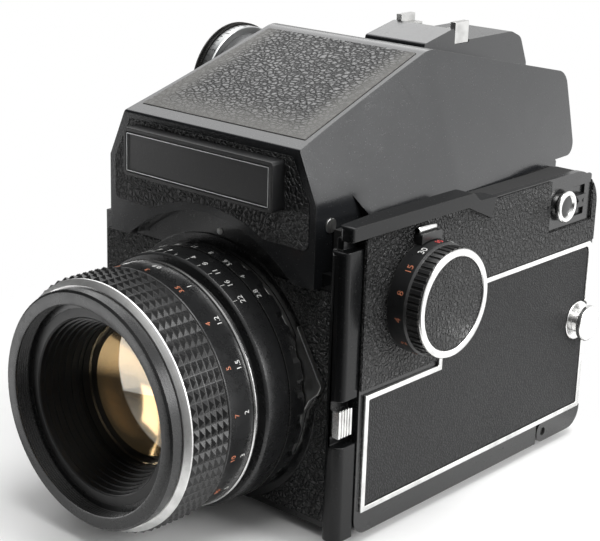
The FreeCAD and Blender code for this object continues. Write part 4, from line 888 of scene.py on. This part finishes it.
@dataclass
class LensDress(Dress):
    """The lens: turned rings, pyramid grip, scales and coated glass."""

    grip_columns: int = 64
    grip_rows: int = 6
    grip_front: float = -103.0
    grip_rear: float = -90.2
    grip_base: float = 34.8
    grip_bore: float = 33.5
    grip_groove: float = 0.12
    grip_height: float = 0.9
    chord_sag: float = 0.4
    thread_radius: float = 29.0
    thread_pitch: float = 0.75
    thread_turns: int = 5
    thread_depth: float = 0.28
    funnel_mouth: float = 24.3
    funnel_throat: float = 20.9
    step_pitch: float = 1.8
    step_tread: float = 1.5
    step_drop: float = 0.62
    glass_rings: int = 18
    steps: int = 192

    def build(self) -> None:
        """Make every piece of the lens."""
        self.focus_ring()
        self.front()
        self.rear_rings()
        self.glass()
        self.scales()

    def focus_ring(self) -> None:
        """Grip with rows of pyramids, scale sleeve and bright bead."""
        pitch = (self.grip_rear - self.grip_front) / self.grip_rows
        profile = [(self.grip_front + row * pitch, self.grip_base) for row in range(self.grip_rows + 1)]
        profile += [(self.grip_rear + 0.05, self.grip_bore), (self.grip_front, self.grip_bore)]
        grip = Bench.turned("focus_grip", profile, self.grip_columns)
        for polygon in grip.data.polygons:
            centre = Vector(polygon.center) / MM
            radius = math.hypot(centre.x, centre.z - LENS_HEIGHT)
            between_ends = self.grip_front < centre.y < self.grip_rear
            polygon.select = bool(between_ends and radius > self.grip_base - self.chord_sag)
        with Bench.editing(False):
            bpy.ops.mesh.inset(thickness=self.grip_groove * MM, depth=0, use_individual=True)
            bpy.ops.mesh.poke(offset=self.grip_height * MM)
        self.assembly.fit(Bench.smooth(grip, 20), Look.LENS, "focus_ring", ["focus_ring"])
        self.assembly.turned("focus_sleeve", [
            (-90.2, 33.6), (-90.2, 34.9), (-89.9, 35.1), (-89.5, 35.1), (-89.3, 34.8), (-80.9, 34.8),
            (-80.9, 33.6)], Look.LENS, "focus_ring", steps=self.steps, corner=0.06)
        self.assembly.turned("focus_bead", [
            (-80.8, 33.6), (-80.8, 35.0), (-80.5, 35.3), (-80.1, 35.3), (-79.9, 35.0), (-79.9, 33.6)],
            Look.CHROME, "focus_ring", steps=self.steps)

    def front(self) -> None:
        """Front rim with its filter thread, chrome ring, bare name ring and funnel."""
        bore = self.thread_radius
        rim = [(-108.8, 29.4), (-108.8, 32.3), (-108.2, 32.9), (-105.0, 32.9), (-104.8, 32.5), (-104.8, 31.0),
               (-97.0, 31.0), (-97.0, 27.2), (-104.4, 27.2), (-104.4, bore)]
        for turn in range(self.thread_turns):
            y = -104.7 - turn * self.thread_pitch
            rim += [(y, bore), (y - 0.3, bore + self.thread_depth), (y - 0.6, bore)]
        rim.append((-108.65, bore))
        self.assembly.turned("front_rim", rim, Look.LENS, "front_barrel", ["front_barrel"], 30,
                             steps=self.steps)
        self.assembly.turned("front_chrome", [
            (-104.9, 31.0), (-104.9, 33.3), (-104.6, 33.6), (-103.5, 34.8), (-103.1, 34.9), (-103.1, 31.0)],
            Look.SATIN, "chrome_ring", ["chrome_ring"], steps=self.steps, corner=0.08)
        funnel = [(-104.38, 27.15), (-104.38, 24.7), (-104.2, 24.55)]
        radius = self.funnel_mouth
        y = -104.0
        while radius > self.funnel_throat:
            tread = y + self.step_tread
            funnel += [(y, radius), (tread, radius - 0.15), (tread, radius - self.step_drop)]
            radius -= self.step_drop
            y += self.step_pitch
        funnel += [(-92.1, 20.7), (-92.1, 27.1)]
        self.assembly.turned("funnel", funnel, Look.LENS_INSIDE, "lens_baffle", ["lens_baffle"], 25,
                             steps=self.steps)

    def rear_rings(self) -> None:
        """Fixed barrel, aperture ring and the parts behind it."""
        self.assembly.turned("barrel_sleeve", [
            (-61.3, 27.7), (-61.3, 33.9), (-61.5, 34.0), (-63.0, 34.0), (-63.0, 33.2), (-68.9, 33.2),
            (-68.9, 36.5), (-76.7, 36.5), (-77.4, 35.9), (-77.4, 33.2), (-95.4, 33.2), (-95.4, 27.7)],
            Look.LENS, "lens_barrel", ["lens_barrel"], steps=self.steps, corner=0.08)
        self.assembly.edged("aperture_ring", Look.LENS, 0.18)
        self.assembly.edged("preview_lever", Look.STEEL, 0.2)
        self.assembly.plain("lens_mount_ring", Look.STEEL)
        self.assembly.plain("diaphragm", Look.LENS_INSIDE)
        self.assembly.plain("optics_cell", Look.LENS_INSIDE)

    def element(self, y: float, radius: float, bulge: float, edge: float, back: float) -> Profile:
        """Profile of a glass disc with curved faces.

        Args:
            y: where the front face's edge is.
            radius: radius of the disc.
            bulge: how far the front face stands forward, or is hollow if negative.
            edge: thickness at the edge.
            back: how far the rear face stands back, or is hollow if negative.

        Returns:
            Its corners.
        """
        shares = [number / self.glass_rings for number in range(self.glass_rings + 1)]
        front = [(y - bulge * (1 - share ** 2), radius * share) for share in shares]
        rear = [(y + edge + back * (1 - share ** 2), radius * share) for share in reversed(shares)]
        return front + rear

    def glass(self) -> None:
        """Front and inner glass elements."""
        for name, sizes, look, replaces in (
                ("front_element", (-89.9, 20.2, 1.4, 2.4, -0.6), Look.FRONT_GLASS, ["lens_elements"]),
                ("second_element", (-87.2, 18.0, -4.6, 6.2, 0.6), Look.INNER_GLASS, []),
                ("rear_element", (-71.5, 13.9, 1.2, 3.4, 0.4), Look.INNER_GLASS, [])):
            self.assembly.turned(name, self.element(*sizes), look, "lens_elements", replaces, steps=96)

    def scales(self) -> None:
        """Numerals of focus, depth of field and aperture."""
        feet = ["1.8", "2", "2.5", "3", "3.5", "4", "5", "7", "10", "15", "30"]
        metres = ["0.6", "0.7", "0.8", "0.9", "1", "1.2", "1.5", "2", "3", "5", "10"]
        distances = [-62 + 21 * number for number in range(11)]
        depth = ["22", "16", "11", "8", "4", "4", "8", "11", "16", "22"]
        spread = [-38, -29, -21, -14, -7, 7, 14, 21, 29, 38]
        ticks = spread[:5] + [0] + spread[5:]
        stops = ["22", "16", "11", "8", "5.6", "4", "2.8"]
        clicks = [-22 + 10 * number for number in range(7)]
        for node, scale in (
                ("focus_ring", RingScale("feet_scale", feet, distances, 34.82, -87.0, 1.6, Look.ORANGE)),
                ("focus_ring", RingScale("metre_scale", metres, distances, 34.82, -83.4, 1.6, Look.WHITE)),
                ("lens_barrel", RingScale("depth_scale", depth, spread, 36.52, -73.4, 1.8, Look.WHITE)),
                ("lens_barrel", RingScale("depth_ticks", ["|"] * 11, ticks, 36.52, -75.9, 1.1, Look.WHITE)),
                ("aperture_ring", RingScale("aperture_scale", stops, clicks, 36.82, -67.5, 1.6, Look.WHITE))):
            scale.build(self.assembly, node)


@dataclass
class SpeedDialDress(Dress):
    """Shutter speed dial on the left side."""

    axle: Axle = Axle((0, -34.6, 67.4), (1, 0, 0))
    skirt_radius: float = 15.7
    numeral_place: float = 56.9

    def build(self) -> None:
        """Make every piece of the dial."""
        self.assembly.edged("shutter_dial", Look.DIAL, 0.14)
        self.assembly.turned("dial_bright_ring", [
            (62.9, 12.95), (62.9, 15.0), (63.5, 15.0), (63.8, 14.7), (63.8, 13.2), (63.6, 12.95)],
            Look.CHROME, "shutter_dial_ring", ["shutter_dial_ring"], corner=0.05, axle=self.axle)
        self.assembly.turned("dial_pad", [
            (62.9, 0.0), (62.9, 12.85), (63.35, 12.85), (63.5, 12.6), (63.5, 0.0)],
            Look.COARSE_LEATHER, "shutter_dial_pad", ["shutter_dial_pad"], steps=96, axle=self.axle)
        self.numerals("red", ["60"], [-2], Look.RED)
        self.numerals("white", ["30", "125", "250", "500", "1000"], [23, -27, -52, -77, -102], Look.WHITE)
        self.numerals("orange", ["15", "8", "4", "2", "1"], [47.4, 72.3, 99.4, 128.2, 153], Look.ORANGE)
        self.assembly.edged("dial_index", Look.DIAL, 0.25)
        self.assembly.turned("dial_index_pin", [
            (-39.0, 0.0), (-39.0, 0.75), (-38.7, 0.95), (-31.7, 0.95), (-31.4, 0.75), (-31.4, 0.0)],
            Look.CHROME, "dial_index", steps=20, axle=Axle((53.4, 0, 86.3)))

    def numerals(self, name: str, words: Sequence[str], angles: Sequence[float], look: Look) -> None:
        """Set numerals of one colour round the skirt.

        Args:
            name: the colour's name.
            words: the numerals.
            angles: where each stands, from the top.
            look: their paint.
        """
        RingScale(f"dial_{name}_numerals", words, angles, self.skirt_radius + PAINT_GAP, self.numeral_place,
                  1.9, look, self.axle).build(self.assembly, "shutter_dial")


@dataclass
class BodyDress(Dress):
    """Casting, covers, trims, leathers and small fittings of the body."""

    latch_axle: Axle = Axle((0, 34.0, 79.3), (1, 0, 0))

    def build(self) -> None:
        """Make every piece of the body."""
        for look, widths in (
                (Look.CASTING, {"side_covers": 0.5, "base_plate": 0.3, "rear_cover": 0.5, "front_plate": 0.4,
                                "latch_plate": 0.15}),
                # pillar and rails: the darkened enamel copy, as painted shade
                (Look.DARK_ENAMEL, {"shoulder_rails": 0.45, "front_pillar": 0.35}),
                (Look.CHROME, {"side_trims": 0.3, "strap_lugs": 0.3, "lens_release": 0.12}),
                (Look.STEEL, {"accessory_shoe": 0.2, "tripod_bush": 0.2, "battery_cover": 0.2,
                              "mirror_lever": 0.25, "multi_lever": 0.25, "case_screws": 0.1}),
                (Look.FINE_LEATHER, {"lower_leathers": 0.2, "rear_leather": 0.2}),
                (Look.COARSE_LEATHER, {"upper_leathers": 0.2}),
                # front leather: the darkened leatherette copy, as painted shade
                (Look.FRONT_LEATHER, {"front_leather": 0.2}),
                (Look.DIAL, {"latch_slide": 0.2}),
                (Look.BUTTON, {"shutter_button": 0.2, "button_collar": 0.15})):
            for node, width in widths.items():
                self.assembly.edged(node, look, width)
        for look, nodes in (
                (Look.STEEL, ("hinge_pin", "insert_frame")),
                (Look.INSIDE, ("body_casting", "shutter_curtain")),
                (Look.PLASTIC, ("takeup_spool", "pressure_plate", "mirror_frame")),
                (Look.MIRROR, ("mirror_glass",)),
                (Look.CLEAR_GLASS, ("focusing_screen",))):
            for node in nodes:
                self.assembly.plain(node, look)
        self.index_bead()
        self.latch_knob()

    def index_bead(self) -> None:
        """White bead over the lens that its own index is set against."""
        self.assembly.turned("mount_index_dot", [
            (-61.1, 0.0), (-61.05, 0.5), (-60.85, 0.85), (-60.45, 1.0), (-60.45, 0.0)],
            Look.WHITE, "front_plate", angle=60, steps=24, axle=Axle((1.6, 0, 79.3)))

    def latch_knob(self) -> None:
        """Rear cover's latch: bright cup with a dark pad."""
        self.assembly.turned("latch_cup", [
            (51.3, 0.0), (51.3, 3.4), (53.1, 3.4), (53.1, 4.85), (53.8, 4.85), (54.15, 4.5), (54.15, 3.5),
            (53.3, 3.1), (53.3, 0.0)],
            Look.CHROME, "latch_button", ["latch_button"], steps=64, corner=0.08, axle=self.latch_axle)
        self.assembly.turned("latch_pad", [
            (53.25, 0.0), (53.25, 3.15), (53.55, 3.0), (53.7, 2.5), (53.7, 0.0)],
            Look.DIAL, "latch_button", steps=48, axle=self.latch_axle)


@dataclass
class WindingDress(Dress):
    """Winding knob and folding crank on the right side."""

    def build(self) -> None:
        """Make every piece of the winding side."""
        for node, width in (("winding_knob", 0.14), ("crank_arm", 0.3), ("crank_grip", 0.3)):
            self.assembly.edged(node, Look.DIAL, width)


@dataclass
class FinderDress(Dress):
    """Prism finder with its leather, bare name block, eyepiece and dials."""

    axle: Axle = Axle((0, -9.0, 107.8), (1, 0, 0))
    rim_radius: float = 18.8
    band_radius: float = 18.1
    knurls: int = 180
    knurl_depth: float = 0.35
    knurl_margin: float = 0.1
    disc_face: float = -44.93
    speed_radius: float = 11.0
    speeds: Sequence[str] = ("25", "50", "100", "200", "400", "800", "1600", "3200")
    panel_half_width: float = 27.1
    panel_half_height: float = 5.45
    panel_middle: Place = (0, -69.02, 98.15)
    edge_highlight_width: float = 0.22
    edge_highlight_thickness: float = 0.06

    def build(self) -> None:
        """Make every piece of the finder."""
        for node, look, width, segments in (
                ("finder_housing", Look.FINDER, 1.5, 3), ("eyepiece_block", Look.FINDER, 0.5, 3),
                ("finder_leather", Look.ROOF_LEATHER, 0.2, 2), ("nameplate", Look.NAME_PANEL, 0.25, 2),
                ("eyecup", Look.RUBBER, 0.2, 2), ("film_speed_disc", Look.DISC, 0.2, 2)):
            self.assembly.edged(node, look, width, segments)
        for node in ("eyepiece_glass", "roof_prism"):
            self.assembly.plain(node, Look.CLEAR_GLASS)
        self.name_edge_highlight()
        self.exposure_dial()
        self.film_speeds()

    def name_edge_highlight(self) -> None:
        """Thin bright line round the bare name panel, standing in for the highlight along its raised edge."""
        # a bright strip that stands in for the highlight along the panel's raised edge
        Bench.clear()
        bpy.ops.mesh.primitive_plane_add(size=1)
        border = Bench.named("name_edge_highlight")
        for vertex in border.data.vertices:
            side = math.copysign(self.panel_half_width, vertex.co.x)
            level = math.copysign(self.panel_half_height, vertex.co.y)
            vertex.co = (Vector(self.panel_middle) + Vector((side, 0, level))) * MM
        with Bench.editing():
            bpy.ops.mesh.inset(thickness=self.edge_highlight_width * MM, depth=0)
            bpy.ops.mesh.delete(type="FACE")
        Bench.modify(border, "SOLIDIFY", thickness=self.edge_highlight_thickness * MM, offset=0.0)
        self.assembly.fit(border, Look.DISC, "nameplate")

    def exposure_dial(self) -> None:
        """Dial on the right side: knurled rim and a bright band with ticks and numbers."""
        rim = Bench.turned("exposure_dial_rim", [
            (-43.6, 3.2), (-43.6, 18.4), (-43.3, self.rim_radius), (-41.5, self.rim_radius), (-41.3, 18.4),
            (-41.3, 3.2)], self.knurls, axle=self.axle)
        pitch = 360 / self.knurls
        for polygon in rim.data.polygons:
            centre = Vector(polygon.center) / MM - Vector(self.axle.centre)
            step = round(math.degrees(math.atan2(centre.y, centre.z)) / pitch - 0.5)
            on_rim = math.hypot(centre.y, centre.z) > self.rim_radius - self.knurl_margin
            polygon.select = on_rim and step % 2 == 0
        with Bench.editing(False):
            bpy.ops.mesh.inset(thickness=self.knurl_margin * MM, depth=-self.knurl_depth * MM,
                               use_individual=True)
        self.assembly.fit(Bench.smooth(rim, 20), Look.DIAL, "finder_dial", ["finder_dial"])
        self.assembly.turned("exposure_dial_band", [
            (-41.3, 3.2), (-41.3, self.band_radius), (-38.3, self.band_radius), (-38.0, 17.8), (-38.0, 3.2)],
            Look.DISC, "finder_dial", axle=self.axle)
        face = self.band_radius + PAINT_GAP
        for name, words, first, pitch, along, size in (
                ("exposure_ticks", ["|"] * 31, -90, 6, -40.6, 1.0),
                ("exposure_numbers", ["2", "1", "0", "1", "2"], -48, 24, -39.2, 1.3)):
            angles = [first + pitch * number for number in range(len(words))]
            scale = RingScale(name, words, angles, face, along, size, Look.BLACK, self.axle)
            scale.build(self.assembly, "finder_dial")

    def film_speeds(self) -> None:
        """Film speeds round the disc."""
        pieces = []
        for number, word in enumerate(self.speeds):
            turn = 2 * math.pi * number / len(self.speeds)
            up = Vector((0, -math.sin(turn), math.cos(turn)))
            spot = self.axle.foot() + Vector((self.disc_face, 0, 0)) + up * self.speed_radius
            place = facing(Vector((-1, 0, 0)), up, spot)
            pieces.append(Bench.label(f"film_speed_{number}", word, 2.0, place))
        self.assembly.fit(Bench.merge("film_speeds", pieces), Look.BLACK, "film_speed_disc")


@dataclass
class Studio:
    """Camera at the photograph's angle, pale floor and soft lamps."""

    sensor_width: float = 36.0
    focal_pixels: float = 1562.34
    picture_width: float = 600.0
    picture_height: float = 541.0
    principal: tuple[float, float] = (286.62, 281.17)
    azimuth: float = 41.76
    elevation: float = 18.10
    roll: float = 1.57
    target: Place = (-27.23, 0.0, 44.25)
    distance: float = 504.15
    ambient: float = 0.5
    bright_side: Place = (0.55, 0.6, 0.58)
    floor_radius: float = 200.0
    floor_near: float = 115.0
    floor_far: float = 190.0
    floor_rear: tuple[float, float] = (56.0, 68.0)

    def build(self) -> None:
        """Make the stage, the lamps and the camera."""
        self.floor()
        self.surroundings()
        for name, spot, aim, size, power in (
                ("right softbox", (500, 130, 270), (20, 0, 60), 300, 2.2),
                ("right rear softbox", (420, 380, 120), (40, 10, 100), 560, 0.6),
                ("left rear softbox", (-360, 190, 500), (0, -30, 110), 520, 1.35),
                ("top softbox", (120, -60, 600), (0, 0, 60), 380, 2.6),
                ("front softbox", (-500, -290, 39), (0, -95, 39), 260, 0.7),
                ("lens card", (-88, -178, 14), (12, -85, 39), 46, 0.019)):
            self.lamp(name, spot, aim, size, power)
        self.view()

    def floor(self) -> None:
        """Pale floor under the camera, which runs out into the white surroundings.

        It ends soon behind the camera, because the opened rear cover hangs below it there.
        """
        Bench.clear()
        bpy.ops.mesh.primitive_circle_add(vertices=96, radius=self.floor_radius * MM, fill_type="NGON")
        floor = Bench.named("floor")
        graph = Graph.named("Pale floor")
        where = graph.place()
        pale = graph.blend(graph.noise(where, 400, 2) * 0.1, (0.93, 0.93, 0.925, 1), (0.88, 0.88, 0.875, 1))
        away = graph.add("ShaderNodeVectorMath", {"operation": "LENGTH"}, {0: where}, output="Value")
        outside = graph.between(away, self.floor_near * MM, self.floor_far * MM)
        rear_start, rear_end = self.floor_rear
        behind = graph.between(graph.axis(where, "Y"), rear_start * MM, rear_end * MM)
        shade = graph.add("ShaderNodeBsdfDiffuse", None, {"Color": pale})
        clear = graph.add("ShaderNodeBsdfTransparent")
        graph.close(graph.add("ShaderNodeMixShader", None, {0: outside.at_least(behind), 1: shade, 2: clear}))
        floor.data.materials.append(graph.owner)

    def surroundings(self) -> None:
        """White room: brightest behind on the left, dim in front and below, where no lamp stands."""
        world = bpy.data.worlds.new("Surroundings")
        bpy.context.scene.world = world
        graph = Graph(world)
        camera, glossy, through = (graph.add("ShaderNodeLightPath", output=kind)
                                   for kind in ("Is Camera Ray", "Is Glossy Ray", "Is Transmission Ray"))
        direction = graph.add("ShaderNodeTexCoord", output="Generated")
        side = graph.between(graph.dot(direction, self.bright_side), -0.2, 0.5, 0.03, 1.0)
        height = graph.between(graph.dot(direction, (0, 0, 1)), -0.8, -0.4, 0.25, 1.0)
        level = graph.between(camera + glossy + through, 0.0, 1.0, self.ambient, 1.0)
        strength = camera.at_least(level * side * height)
        graph.close(graph.add("ShaderNodeBackground", None, {"Color": (1, 1, 1, 1), "Strength": strength}),
                    "ShaderNodeOutputWorld")

    def lamp(self, name: str, spot: Place, aim: Place, size: float, power: float) -> None:
        """Add one square softbox.

        Args:
            name: its name.
            spot: where it stands, in millimetres.
            aim: what it points at.
            size: its side.
            power: watts.
        """
        data = bpy.data.lights.new(name, "AREA")
        data.shape = "SQUARE"
        data.size = size * MM
        data.energy = power
        lamp = bpy.data.objects.new(name, data)
        lamp.visible_camera = False
        lamp.location = Vector(spot) * MM
        lamp.rotation_euler = (Vector(aim) - Vector(spot)).to_track_quat("-Z", "Y").to_euler()
        bpy.context.scene.collection.objects.link(lamp)

    def view(self) -> None:
        """Set the camera as the photograph was taken."""
        azimuth = math.radians(self.azimuth)
        elevation = math.radians(self.elevation)
        away = Vector((math.sin(azimuth) * math.cos(elevation), -math.cos(azimuth) * math.cos(elevation),
                       math.sin(elevation)))
        right = Vector((0, 0, 1)).cross(away).normalized()
        upward = away.cross(right)
        roll = math.radians(self.roll)
        right, upward = (right * math.cos(roll) + upward * math.sin(roll),
                         upward * math.cos(roll) - right * math.sin(roll))
        pose = Matrix((right, upward, away)).transposed().to_4x4()
        pose.translation = (Vector(self.target) + away * self.distance) * MM
        data = bpy.data.cameras.new("studio camera")
        data.sensor_width = self.sensor_width
        data.lens = self.sensor_width * self.focal_pixels / self.picture_width
        data.shift_x = (self.picture_width / 2 - self.principal[0]) / self.picture_width
        data.shift_y = (self.principal[1] - self.picture_height / 2) / self.picture_width
        data.clip_start = 0.01
        camera = bpy.data.objects.new("studio camera", data)
        camera.matrix_world = pose
        bpy.context.scene.collection.objects.link(camera)
        bpy.context.scene.camera = camera


def main() -> None:
    """Build the dressed camera around its frame."""
    logging.basicConfig(level=logging.INFO, format="%(name)s: %(message)s")
    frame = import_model()
    Bench.clear()
    bpy.context.scene.view_settings.view_transform = "Standard"
    assembly = Assembly(frame)
    for dress in (BodyDress, SpeedDialDress, WindingDress, FinderDress, LensDress):
        dress(assembly).build()
        log.info("%s done", dress.__name__)
    Studio().build()
    Bench.clear()


if __name__ == "__main__":
    main()
